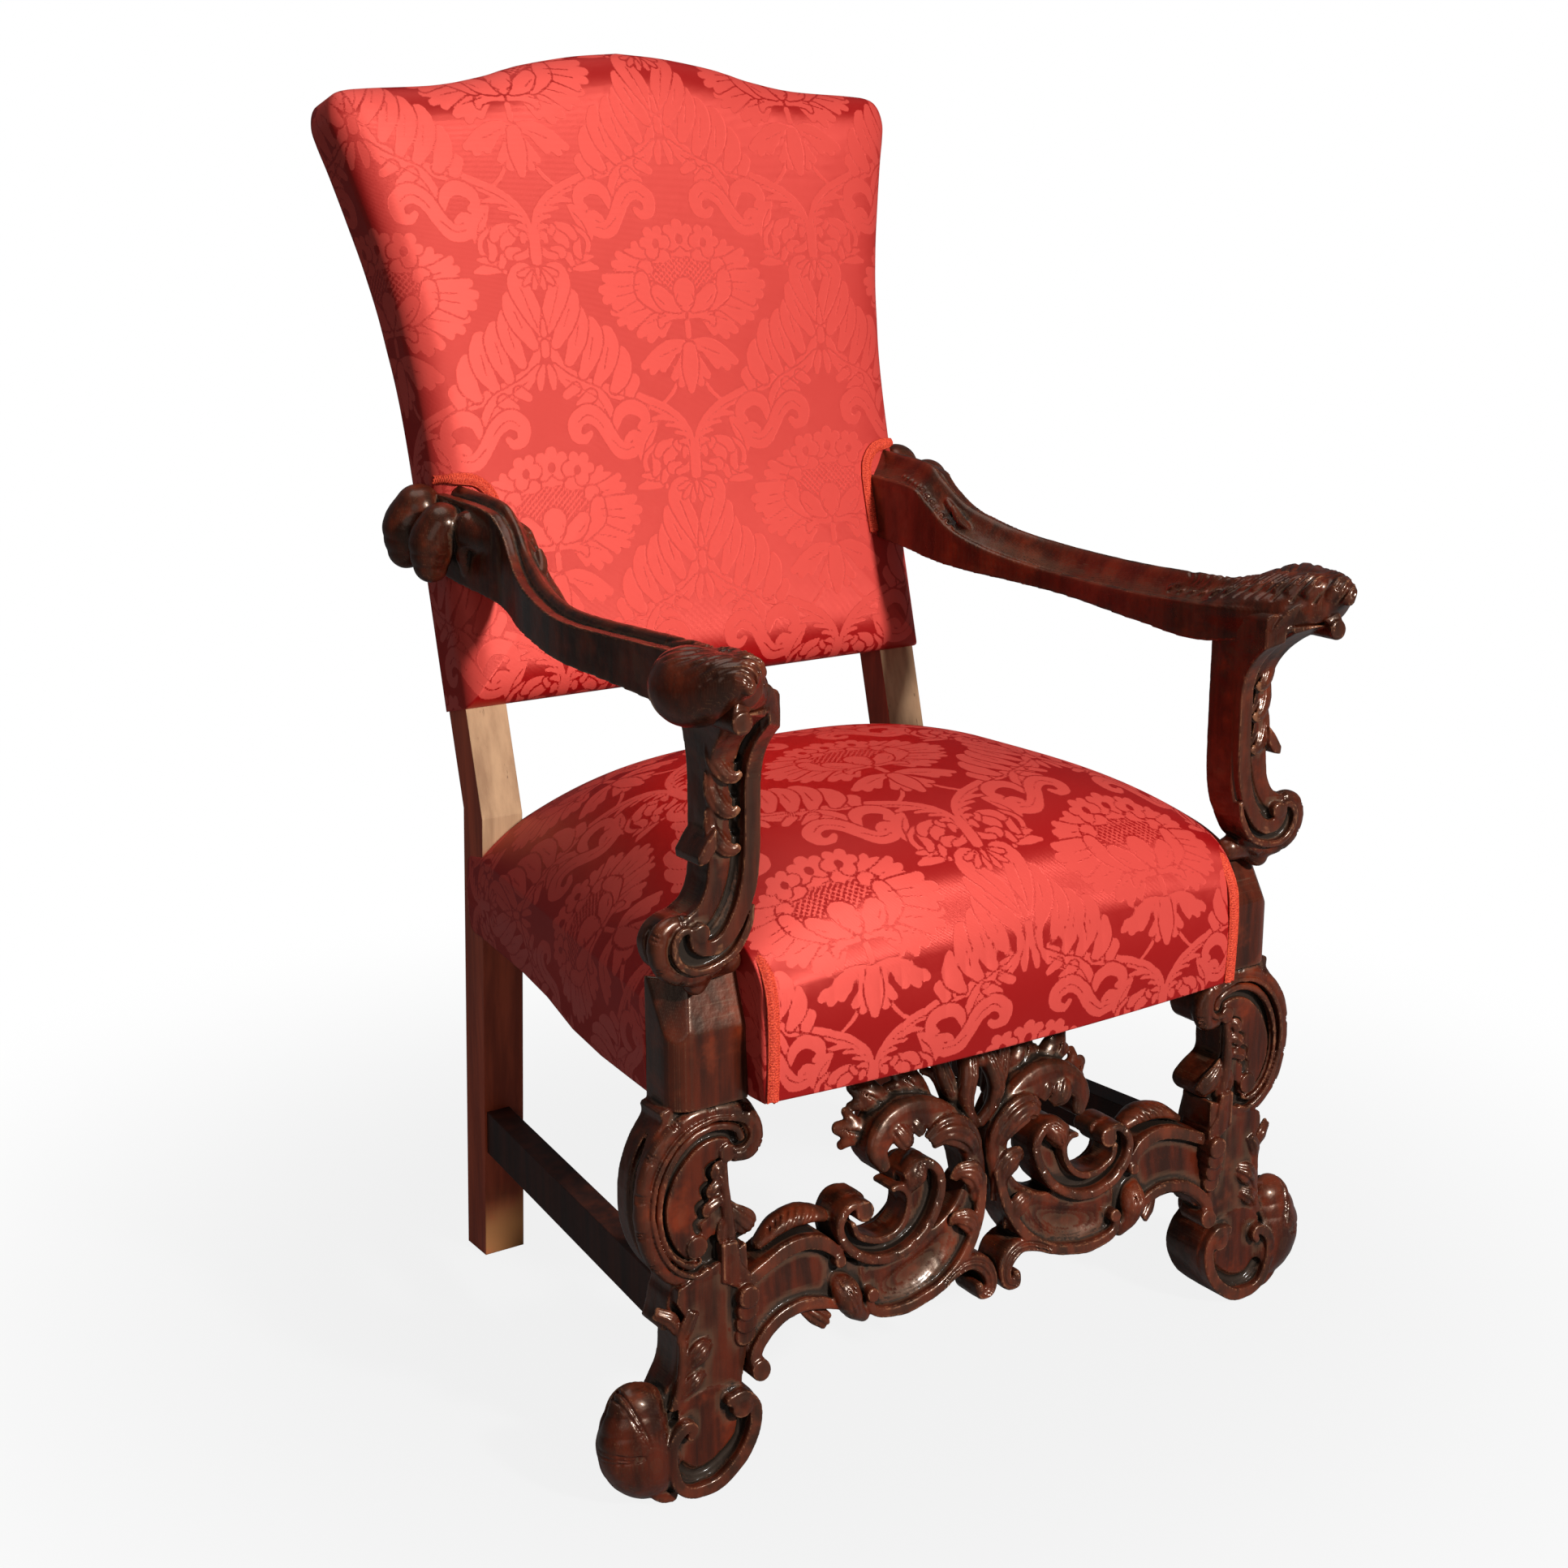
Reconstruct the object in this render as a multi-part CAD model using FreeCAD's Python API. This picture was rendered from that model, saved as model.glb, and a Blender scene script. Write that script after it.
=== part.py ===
import FreeCAD, Part
import math
import os

# High-back armchair, sizes in millimetres. It faces -Y and stands on z = 0.
# Left and right are as seen from the front, so left is -X.
# The pieces are built with y = 0 on the front faces of the front posts, and all of
# them are moved together at the end, to put the origin under the middle of the chair.

# Front posts: foot, carved leg, block and arm support sawn from one plank
front_width = 644.0  # over the outer faces of the two blocks
block_width = 68.0
post_depth = 44.0
block_drop = 4.0  # the block reaches this far below the seat rails
block_top = 440.0
block_slope = 41.0  # the block's front face leans back over this height
block_lean = 15.0
block_corner = 20.0  # radius of the front outer corner
scroll_reach = 28.0  # the leg's C-scroll stands out this far beyond the block
scroll_bottom = 187.0
shank_waist = 11.0  # the shank is this much narrower than the block, outside
foot_radius = 50.0
foot_proud = 8.0  # the foot scroll stands forward of the post
foot_wear = 1.5  # worn flat under the scroll
foot_ball_radius = 38.0
foot_ball_reach = 67.0  # from the block's outer face to the ball's outer side
foot_ball_edge = 12.0
toe_width = 19.0  # the shank's outer side widens this much down to the foot
heel_width = 12.0  # and its inner side by this much
leg_volute = 13.0  # the scroll's inner curl stands out this far beyond the block
leg_leaf = 6.0  # the leaf below it likewise
leg_hollow = 21.0  # the hollow between them
support_neck = 35.0  # width of the arm support above its volute
volute_radius = 28.0
volute_rise = 34.0  # the volute's middle above the block
support_depth = 35.0
support_forward = 14.0  # the support's face stands forward of the block
support_sweep = 66.0  # reach of the hook under the arm's knuckle
support_flare = 14.0  # the support is this much wider under the arm
support_heel = 19.0  # and this much deeper at its foot
volute_overlap = 9.0  # the volute runs this far into the support

# Front stretcher: pierced scrollwork between the front legs
stretcher_low = 128.0
stretcher_high = 181.0
stretcher_depth = 30.0
stretcher_setback = 7.0
stretcher_ridge = 22.0  # height of the carved ridge above the plank
stretcher_heel = 18.0  # the plank is this much deeper where it meets the leg
stretcher_spur = 42.0  # the curl under the plank hangs this far below it
plank_end_share = 0.551  # the plank's inner end, as a share of the way out to the leg
scroll_stem = 27.0  # width of the S-scroll's stem
cup_stem = 21.0  # width of the C-scroll's stem
cup_radius = 40.0
cup_share = (0.402, 0.594)  # its middle, in the shares described below
cup_start = 140.0  # degrees, where the C-scroll's stem starts
cup_end = 380.0
drop_radius = 17.0
drop_share = 0.312  # height of the drop's middle
leaf_width = 15.0
# Middle lines of the scrollwork: shares of the way from the chair's middle to the leg,
# and of the height of the seat rail's underside
s_scroll_line = [
    (0.34, 0.724), (0.315, 0.812), (0.205, 0.853), (0.095, 0.824), (0.035, 0.735), (0.031, 0.624),
    (0.079, 0.512), (0.197, 0.412), (0.374, 0.359), (0.551, 0.376), (0.63, 0.429)]
drop_stem_line = [(0.22, 0.394), (0.142, 0.391), (0.087, 0.359), (0.063, 0.318)]
top_leaf_line = [(0.173, 0.847), (0.268, 0.894), (0.362, 0.929)]
flower_edge = [(0, 0.771), (0.079, 0.838), (0.094, 0.918)]

# Side stretchers: plain bars
side_bar_low = 113.0
side_bar_high = 157.0
side_bar_width = 24.0
side_bar_front_inset = 34.0  # middle of the bar, inside the block's outer face
side_bar_rear_inset = 15.5  # and inside the rear leg's

# Rear posts: leg and back stile in one piece
rear_inner = 217.5
rear_width = 42.0
rear_leg_depth = 39.0
stile_depth = 37.0
rear_foot_front = 480.0  # front face at the floor
rear_bend_front = 450.0
rear_bend_height = 459.0
back_rake = 14.3  # degrees

# Seat frame
rail_bottom = 340.0
rail_top = 408.0
rail_thickness = 32.0
rail_inset = 4.0  # side rail's outer face, inside the outer faces of the posts
front_rail_setback = 4.0
front_rail_bow = 26.0
rear_rail_thickness = 28.0
rear_rail_setback = 6.0
corner_block_leg = 70.0
corner_block_height = 50.0

# Back frame, measured up the rake from the lower edge of the back
back_bottom = 562.0
lower_rail_height = 60.0
lower_rail_thickness = 24.0
crest_shoulder = 572.0
crest_rise = 36.0  # the hump above the shoulders
crest_depth = 72.0  # from the shoulders down to the crest rail's underside
ear_overhang = 48.5  # the ears stand out this far beyond the stiles
ear_drop = 27.0  # widest point below the shoulders
ear_length = 40.0  # from the widest point in to where the shoulder is level
ear_swell = 11.0  # the ear stands out this far beyond the crest rail's end

# Arms
arm_overhang = 96.0  # knuckle forward of the block
arm_height = 690.0  # top of the arm at its middle
arm_thickness = 39.0
arm_width = 42.0
arm_offset = 38.0  # the arm's outer side at its middle, outside the block's inner face
knuckle_offset = 51.0  # the knuckle's middle, likewise
knuckle_half_width = 38.0
knuckle_rise = 22.0
knuckle_length = 106.0  # from the tip back to where the arm runs level
arm_rear_rise = 67.0
arm_rear_length = 140.0  # from the stile's face forward to the foot of the rise
arm_rear_inset = 31.0  # the arm's outer side comes in this far at the foot of the rise
arm_lap = 44.0  # the arm's end runs past the stile's front face
lobe_overhang = 48.5  # the lobes stand out this far beyond the stile
lobe_notch = 11.0  # depth of the notch between the two lobes
arm_stile_inset = 5.0  # the arm's inner end, outside the stile's inner face

# Joints and fixings
tenon_thickness = 12.0
tenon_inset = 10.0  # from the rail's edge to the tenon's
tenon_length = 20.0
joint_clearance = 0.25
screw_diameter = 6.0
screw_head = 11.0
screw_head_depth = 4.0
screw_bite = 45.0  # length inside the arm
screw_rise = 8.0  # the screw enters the arm this far above its middle height

# Upholstery
webbing_width = 50.0
webbing_thickness = 2.0
webbing_pitch = 80.0
hessian_thickness = 1.5
cover_thickness = 1.6
cover_gap = 0.3  # between a cover and what it is stretched over
cover_hem = 15.0
seat_front_overhang = 12.0  # the seat's front stands forward of the blocks
seat_bow = 20.0
seat_edge_rise = 17.0  # above the rails, where the sides of the seat start to round over
seat_dome = 116.0  # height of the crown above that
back_pad_depth = 24.0
gimp_width = 12.0
gimp_thickness = 2.4
tack_head = 9.0
tack_head_depth = 1.5
tack_shank = 1.6
tack_length = 11.0
tack_pitch = 60.0

block_out = front_width / 2
block_in = block_out - block_width
block_bottom = rail_bottom - block_drop
block_shoulder = block_top - block_slope
volute_height = block_top + volute_rise
seat_edge = rail_top + seat_edge_rise
seat_crown = seat_edge + seat_dome
rear_outer = rear_inner + rear_width
ear_reach = rear_outer + ear_overhang
arm_outside = block_in + arm_offset
knuckle_middle = block_in + knuckle_offset
lobe_reach = rear_outer + lobe_overhang
plank_end = plank_end_share * block_in
rake = math.radians(back_rake)
back_front = rear_bend_front + (back_bottom - rear_bend_height) * math.tan(rake)
rear_rail_front = rear_bend_front + rear_rail_setback
rear_rail_back = rear_rail_front + rear_rail_thickness
cross_rail_top = rail_top + webbing_thickness
hessian_top = cross_rail_top + webbing_thickness + hessian_thickness
arm_bottom = arm_height - arm_thickness
arm_rear = back_front + (arm_height - back_bottom) * math.tan(rake)
arm_front = -arm_overhang
arm_crest = arm_height + arm_rear_rise
screw_height = (arm_height + screw_rise - back_bottom) / math.cos(rake)
crest_bottom = crest_shoulder - crest_depth
crest_height = crest_shoulder + crest_rise
ear_height = crest_shoulder - ear_drop
seat_middle = rear_rail_back / 2


def vec(x, y, z):
    return FreeCAD.Vector(x, y, z)


def box(x0, x1, y0, y1, z0, z1):
    return Part.makeBox(x1 - x0, y1 - y0, z1 - z0, vec(x0, y0, z0))


def wire(runs):
    # Each run starts where the last one ended: two points are a line, more are a smooth curve
    edges = []
    for run in runs:
        if len(run) == 2:
            edges.append(Part.LineSegment(run[0], run[1]).toShape())
        else:
            curve = Part.BSplineCurve()
            curve.interpolate(run)
            edges.append(curve.toShape())
    return Part.Wire(edges)


def prism(runs, sweep):
    return Part.Face(wire(runs)).extrude(sweep)


def polygon(points):
    return [[a, b] for a, b in zip(points, points[1:] + points[:1])]


def front_prism(runs, y0, y1):
    # A front-view outline of (x, z) points, from y0 back to y1
    return prism([[vec(x, y0, z) for x, z in run] for run in runs], vec(0, y1 - y0, 0))


def side_prism(runs, x0, x1):
    # A side-view outline of (y, z) points, from x0 to x1
    return prism([[vec(x0, y, z) for y, z in run] for run in runs], vec(x1 - x0, 0, 0))


def plan_prism(runs, z0, z1):
    # A plan outline of (x, y) points, from z0 up to z1
    return prism([[vec(x, y, z0) for x, y in run] for run in runs], vec(0, 0, z1 - z0))


def disc(x, z, radius, y0, y1):
    return Part.makeCylinder(radius, y1 - y0, vec(x, y0, z), vec(0, 1, 0))


def mirrored(shape):
    return shape.mirror(vec(0, 0, 0), vec(1, 0, 0))


def both_sides(shape):
    return shape.fuse(mirrored(shape)).removeSplitter()


def solid_of(shape):
    return max(shape.Solids, key=lambda solid: solid.Volume)


def plan_bar(start, end, width, z0, z1):
    # A straight bar in plan between two (x, y) points on its middle line
    run_x = end[0] - start[0]
    run_y = end[1] - start[1]
    length = math.hypot(run_x, run_y)
    side_x = run_y / length * width / 2
    side_y = -run_x / length * width / 2
    points = [
        (start[0] - side_x, start[1] - side_y),
        (end[0] - side_x, end[1] - side_y),
        (end[0] + side_x, end[1] + side_y),
        (start[0] + side_x, start[1] + side_y),
    ]
    return plan_prism(polygon(points), z0, z1)


def raked(shape):
    # From the back's own upright frame (across, rearward, up the rake) to its place
    placed = shape.copy()
    placed.rotate(vec(0, 0, 0), vec(1, 0, 0), -back_rake)
    placed.translate(vec(0, back_front, back_bottom))
    return placed


def along(start, end, distance):
    # The point a distance beyond the end of a plan line
    length = math.hypot(end[0] - start[0], end[1] - start[1])
    share = distance / length
    return (end[0] + (end[0] - start[0]) * share, end[1] + (end[1] - start[1]) * share)


# Middle lines of the side members, right side
side_bar_line = (
    (block_out - side_bar_front_inset, post_depth), (rear_outer - side_bar_rear_inset, rear_foot_front))
side_rail_line = (
    (block_out - rail_inset - rail_thickness / 2, post_depth),
    (rear_outer - rail_inset - rail_thickness / 2, rear_bend_front),
)


def slack_box(x0, x1, y0, y1, z0, z1, slack):
    return box(x0 - slack, x1 + slack, y0 - slack, y1 + slack, z0 - slack, z1 + slack)


def front_rail_tenon(slack=0.0):
    front = front_rail_setback + tenon_inset / 2
    return slack_box(
        block_in, block_in + tenon_length, front, front + tenon_thickness,
        rail_bottom + tenon_inset, rail_top - tenon_inset, slack)


def side_rail_tenons(slack=0.0):
    start, end = side_rail_line
    low = rail_bottom + tenon_inset - slack
    high = rail_top - tenon_inset + slack
    return plan_bar(
        along(end, start, tenon_length + slack), along(start, end, tenon_length + slack),
        tenon_thickness + 2 * slack, low, high)


def rear_rail_tenon(slack=0.0):
    front = rear_rail_front + (rear_rail_thickness - tenon_thickness) / 2
    return slack_box(
        rear_inner, rear_inner + tenon_length / 2, front, front + tenon_thickness,
        rail_bottom + tenon_inset, rail_top - tenon_inset, slack)


def side_bar_tenons(slack=0.0):
    start, end = side_bar_line
    low = side_bar_low + tenon_inset - slack
    high = side_bar_high - tenon_inset + slack
    return plan_bar(
        along(end, start, tenon_length + slack), along(start, end, tenon_length + slack),
        tenon_thickness + 2 * slack, low, high)


def stretcher_tenon(slack=0.0):
    front = stretcher_setback + (stretcher_depth - tenon_thickness) / 4
    return slack_box(
        block_in, block_in + tenon_length, front, front + tenon_thickness,
        stretcher_low + tenon_inset, stretcher_high - tenon_inset, slack)


def support_tenon(slack=0.0):
    front = -support_forward + (support_depth - tenon_thickness) / 2
    return slack_box(
        block_in + tenon_inset, block_in + support_neck, front, front + tenon_thickness,
        arm_bottom - tenon_length, arm_bottom + tenon_length, slack)


def lower_rail_tenon(slack=0.0):
    front = (lower_rail_thickness - tenon_thickness) / 2
    return slack_box(
        rear_inner, rear_inner + tenon_length, front, front + tenon_thickness,
        tenon_inset, lower_rail_height - tenon_inset, slack)


def crest_tenon(slack=0.0):
    front = (stile_depth - tenon_thickness) / 2
    return slack_box(
        rear_inner + tenon_inset, rear_outer, front, front + tenon_thickness,
        crest_bottom - tenon_length, crest_bottom + tenon_length, slack)


def arm_screw(slack=0.0):
    middle = vec((rear_inner + rear_outer) / 2, 0, screw_height)
    seat = stile_depth - screw_head_depth
    shank = Part.makeCylinder(
        screw_diameter / 2 + slack, seat + screw_bite + slack,
        middle + vec(0, -screw_bite - slack, 0), vec(0, 1, 0))
    head = Part.makeCone(
        screw_diameter / 2 + slack, screw_head / 2 + slack, screw_head_depth,
        middle + vec(0, seat, 0), vec(0, 1, 0))
    return raked(shank.fuse(head))


def front_leg():
    ankle = block_out - shank_waist
    scroll_out = block_out + scroll_reach
    scroll_height = block_bottom - scroll_bottom
    scroll_middle = (block_bottom + scroll_bottom) / 2
    instep = 2 * foot_radius - shank_waist
    shank = scroll_bottom - instep
    tail = ankle + 0.25 * scroll_reach
    toe = ankle + toe_width
    heel = block_in + heel_width
    joint = stretcher_low - stretcher_heel
    outline = [
        [(block_in, block_bottom), (block_out, block_bottom)],
        [(block_out, block_bottom), (scroll_out - 0.36 * scroll_reach, block_bottom - 0.13 * scroll_height),
         (scroll_out, scroll_middle),
         (scroll_out - 0.46 * scroll_reach, scroll_bottom + 0.15 * scroll_height), (tail, scroll_bottom)],
        [(tail, scroll_bottom), (ankle, scroll_bottom - 0.38 * shank), (ankle, instep + 0.27 * shank),
         (toe, instep)],
        [(toe, instep), (toe, foot_radius)],
        [(toe, foot_radius), (heel, foot_radius)],
        [(heel, foot_radius), (block_in + 0.8 * heel_width, instep), (block_in, joint)],
        [(block_in, joint), (block_in, stretcher_high)],
        [(block_in, stretcher_high), (block_in + 0.25 * leg_hollow, scroll_bottom + 0.11 * scroll_height),
         (block_in - leg_leaf, scroll_bottom + 0.27 * scroll_height),
         (block_in + 0.76 * leg_hollow, scroll_middle - 0.08 * scroll_height),
         (block_in + leg_hollow, scroll_middle + 0.04 * scroll_height),
         (block_in + 0.2 * leg_hollow, scroll_middle + 0.16 * scroll_height),
         (block_in - leg_volute, block_bottom - 0.21 * scroll_height),
         (block_in - 0.55 * leg_volute, block_bottom - 0.07 * scroll_height), (block_in, block_bottom)],
    ]
    leg = front_prism(outline, 0, post_depth)
    foot_height = foot_radius - foot_wear
    foot = disc(block_in + foot_radius, foot_height, foot_radius, -foot_proud, post_depth)
    ball = disc(block_out + foot_ball_reach - foot_ball_radius, foot_radius + foot_ball_edge,
                foot_ball_radius, 0, post_depth)
    ball = ball.makeFillet(foot_ball_edge, ball.Edges)
    floor = box(0, 2 * block_out, -2 * post_depth, 2 * post_depth, -2 * foot_wear, 0)
    return leg.fuse(foot).fuse(ball).cut(floor)


def front_block():
    plan = [
        [(block_in, 0), (block_out - block_corner, 0)],
        [(block_out - block_corner, 0),
         (block_out - block_corner * (1 - math.sqrt(0.5)), block_corner * (1 - math.sqrt(0.5))),
         (block_out, block_corner)],
        [(block_out, block_corner), (block_out, post_depth)],
        [(block_out, post_depth), (block_in, post_depth)],
        [(block_in, post_depth), (block_in, 0)],
    ]
    side = polygon([
        (0, block_bottom), (post_depth, block_bottom), (post_depth, block_top),
        (block_lean, block_top), (0, block_shoulder)])
    return plan_prism(plan, block_bottom, block_top).common(side_prism(side, block_in, block_out))


def arm_support():
    top = arm_bottom + arm_thickness / 2
    rise = top - volute_height
    neck = block_in + support_neck
    foot = neck + 0.6 * support_flare
    volute_x = neck + volute_radius - volute_overlap
    face = -support_forward
    back = face + support_depth
    front_view = [
        [(block_in, top), (block_in, block_top)],
        [(block_in, block_top), (foot, block_top)],
        [(foot, block_top), (neck, volute_height), (neck - 0.2 * support_flare, volute_height + 0.36 * rise),
         (neck + 0.2 * support_flare, volute_height + 0.69 * rise), (neck + support_flare, top)],
        [(neck + support_flare, top), (block_in, top)],
    ]
    side_view = [
        [(back + support_heel, block_top), (back + 0.15 * support_heel, volute_height),
         (back, volute_height + 0.41 * rise), (back + 0.5 * support_heel, arm_bottom),
         (back + support_heel, top)],
        [(back + support_heel, top), (-support_sweep, top)],
        [(-support_sweep, top), (-support_sweep, arm_bottom)],
        [(-support_sweep, arm_bottom), (face - support_forward, arm_bottom - 0.14 * rise),
         (face, volute_height + 0.46 * rise), (face, volute_height), (block_lean, block_top)],
        [(block_lean, block_top), (back + support_heel, block_top)],
    ]
    support = front_prism(front_view, -support_sweep, 2 * post_depth)
    volute = disc(volute_x, volute_height, volute_radius, -support_sweep, 2 * post_depth)
    shaped = side_prism(side_view, block_in - block_width, block_out + block_width)
    return support.fuse(volute).common(shaped)


def arm_blank():
    # The arm as a plan outline crossed with a side outline, before it is fitted to the stile
    inside = arm_outside - arm_width
    shoulder = knuckle_middle + 0.7 * knuckle_half_width
    quarter = (arm_rear - arm_front) / 4
    middle = arm_front + 2 * quarter
    end = arm_rear + arm_lap
    end_inner = rear_inner + arm_stile_inset

    def ahead(share):
        return arm_front + share * knuckle_length

    def behind(share):
        return arm_rear - share * arm_rear_length

    outer = [
        (knuckle_middle, arm_front), (shoulder, ahead(0.15)),
        (knuckle_middle + knuckle_half_width, ahead(0.53)), (shoulder, ahead(0.91)),
        (arm_outside - 0.26 * arm_rear_inset, arm_front + quarter), (arm_outside, middle),
        (arm_outside - 0.58 * arm_rear_inset, behind(1.37)), (arm_outside - arm_rear_inset, behind(1)),
        (arm_outside - 0.58 * arm_rear_inset, behind(0.68)), (lobe_reach, behind(0.32)),
        (lobe_reach - lobe_notch, behind(0.1)), (lobe_reach, behind(-0.1)),
        (lobe_reach - lobe_notch, arm_rear + 0.86 * arm_lap), (rear_outer, end)]
    inner = [
        (end_inner, arm_rear), (end_inner, behind(0.54)), (inside - 0.9 * arm_rear_inset, behind(1)),
        (inside - 0.29 * arm_rear_inset, behind(1.57)), (inside, middle),
        (inside - 0.17 * arm_width, arm_front + quarter), (inside - 0.05 * arm_width, ahead(1)),
        (inside + 0.19 * arm_width, ahead(0.53)), (inside + 0.62 * arm_width, ahead(0.15)),
        (knuckle_middle, arm_front)]
    plan = [
        outer, [(rear_outer, end), (rear_outer, arm_rear)], [(rear_outer, arm_rear), (end_inner, arm_rear)],
        inner]
    tip = arm_height - 0.14 * knuckle_rise
    top = [
        (arm_front, tip), (ahead(0.08), arm_height + 0.68 * knuckle_rise),
        (ahead(0.34), arm_height + knuckle_rise), (ahead(1), arm_height + 0.32 * knuckle_rise),
        (arm_front + quarter, arm_height), (middle, arm_height),
        (behind(1.56), arm_height + 0.15 * arm_rear_rise), (behind(1), arm_height + 0.48 * arm_rear_rise),
        (behind(0.8), arm_crest - 0.16 * arm_rear_rise), (behind(0.32), arm_crest),
        (behind(0.1), arm_crest - 0.1 * arm_rear_rise), (behind(-0.1), arm_crest + 0.13 * arm_rear_rise),
        (arm_rear + 0.86 * arm_lap, arm_crest), (end, arm_crest - 0.33 * arm_rear_rise)]
    bottom = [
        (end, arm_height + 0.33 * arm_rear_rise), (behind(0.25), arm_bottom + 0.8 * arm_thickness),
        (behind(0.69), arm_bottom + 0.44 * arm_thickness), (behind(1.46), arm_bottom + 0.2 * arm_thickness),
        (middle, arm_bottom), (arm_front + quarter, arm_bottom - 0.13 * arm_thickness),
        (ahead(1.25), arm_bottom - 0.2 * arm_thickness), (ahead(0.81), arm_bottom),
        (ahead(0.28), arm_bottom + 0.08 * arm_thickness), (ahead(0.08), arm_bottom + 0.44 * arm_thickness),
        (arm_front, tip)]
    side = [top, [top[-1], bottom[0]], bottom]
    low = arm_bottom - arm_thickness
    high = arm_crest + arm_thickness
    return plan_prism(plan, low, high).common(side_prism(side, 0, 2 * block_out))


def line_crossing(a, b, c, d):
    # Where the line through a and b meets the line through c and d, in side view
    cross = (b[0] - a[0]) * (d[1] - c[1]) - (b[1] - a[1]) * (d[0] - c[0])
    share = ((c[0] - a[0]) * (d[1] - c[1]) - (c[1] - a[1]) * (d[0] - c[0])) / cross
    return (a[0] + share * (b[0] - a[0]), a[1] + share * (b[1] - a[1]))


def back_edge(grow):
    # The back's shaped right edge, from its foot up to the crest rail's underside
    spread = ear_reach - rear_outer
    return [
        (rear_outer + grow, 0), (rear_outer + grow, 0.5 * crest_bottom),
        (rear_outer + 0.15 * spread + grow, 0.7 * crest_bottom), (ear_reach - ear_swell + grow, crest_bottom)]


def rear_post_blank():
    foot_back = (rear_foot_front + rear_leg_depth, 0)
    leg_back = (rear_bend_front + rear_leg_depth, rear_bend_height)
    stile_back = (back_front + stile_depth * math.cos(rake), back_bottom - stile_depth * math.sin(rake))
    stile_up = (stile_back[0] + math.sin(rake), stile_back[1] + math.cos(rake))
    leg = side_prism(polygon([
        (rear_foot_front, 0), foot_back, line_crossing(foot_back, leg_back, stile_back, stile_up),
        stile_back, (back_front, back_bottom), (rear_bend_front, rear_bend_height)]),
        rear_inner, rear_outer)
    edge = back_edge(0)
    stile = front_prism([
        [(rear_inner, 0), edge[0]], edge, [edge[-1], (rear_inner, crest_bottom)],
        [(rear_inner, crest_bottom), (rear_inner, 0)]], 0, stile_depth)
    return leg.fuse(raked(stile)).removeSplitter()


def crest_outline(grow):
    # The right half of the top edge, from the crest rail's end to the middle of the hump
    shoulder = crest_shoulder + grow
    level = ear_reach - ear_length
    below = crest_depth - ear_drop
    ear = [
        (ear_reach - ear_swell + grow, crest_bottom),
        (ear_reach - 0.27 * ear_swell + grow, ear_height - 0.33 * below), (ear_reach + grow, ear_height),
        (ear_reach - 0.12 * ear_length + grow, ear_height + 0.63 * ear_drop + grow),
        (ear_reach - 0.52 * ear_length, shoulder - 0.1 * ear_drop), (level, shoulder - 0.04 * ear_drop)]
    hump = [
        (level, shoulder - 0.04 * ear_drop), (0.65 * ear_reach, shoulder + 0.06 * crest_rise),
        (0.33 * ear_reach, shoulder + 0.64 * crest_rise), (0.16 * ear_reach, shoulder + 0.86 * crest_rise),
        (0, shoulder + crest_rise)]
    return ear, hump


def crest_rail():
    ear, hump = crest_outline(0)
    half = front_prism([
        [(0, crest_bottom), ear[0]], ear, hump, [hump[-1], (0, crest_bottom)]], 0, stile_depth)
    rail = both_sides(half)
    sockets = crest_tenon(joint_clearance)
    return raked(rail.cut(sockets).cut(mirrored(sockets)))


def back_wire(grow, rear, scale):
    # The whole edge of the back at one depth, scaled about its middle
    ear, hump = crest_outline(grow)
    right = [back_edge(grow), ear, hump]
    left = [[(-x, v) for x, v in reversed(run)] for run in reversed(right)]
    runs = right + left
    runs.append([runs[-1][-1], runs[0][0]])
    middle = crest_height / 2
    drop = grow if grow > 0 else grow - cover_gap
    placed = []
    for run in runs:
        points = []
        for x, v in run:
            lowered = v - drop if v == 0 else v
            points.append(vec(x * scale, rear, middle + (lowered - middle) * scale))
        placed.append(points)
    return wire(placed)


def back_body(grow, rear):
    # The upholstered back as a closed crowned pad, its face standing out with grow
    face = -back_pad_depth - grow + cover_thickness + cover_gap
    shoulder = 0.35 * face
    edge = Part.Face(back_wire(grow, rear, 1.0)).extrude(vec(0, shoulder - rear, 0))
    sections = [
        back_wire(grow, shoulder, 1.0), back_wire(grow, 0.75 * face, 0.975), back_wire(grow, face, 0.9)]
    return raked(edge.fuse(Part.makeLoft(sections, True)))


def seat_wire(inset, z, scale):
    # The seat's plan outline at one height, scaled about its middle
    # Its sides run from the blocks' outer faces to the rear posts' outer faces
    front_y = -seat_front_overhang + inset
    rear_y = rear_rail_back + cover_thickness + cover_gap - inset
    taper = (block_out - rear_outer) / (rear_bend_front - post_depth)
    front_x = block_out + taper * (post_depth - front_y) - inset
    rear_x = rear_outer - taper * (rear_y - rear_bend_front) - inset
    runs = [
        [(-front_x, front_y), (-block_in / 2, front_y - 0.8 * seat_bow), (0, front_y - seat_bow),
         (block_in / 2, front_y - 0.8 * seat_bow), (front_x, front_y)],
        [(front_x, front_y), (rear_x, rear_y)], [(rear_x, rear_y), (-rear_x, rear_y)],
        [(-rear_x, rear_y), (-front_x, front_y)]]
    placed = []
    for run in runs:
        placed.append([vec(x * scale, seat_middle + (y - seat_middle) * scale, z) for x, y in run])
    return wire(placed)


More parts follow.
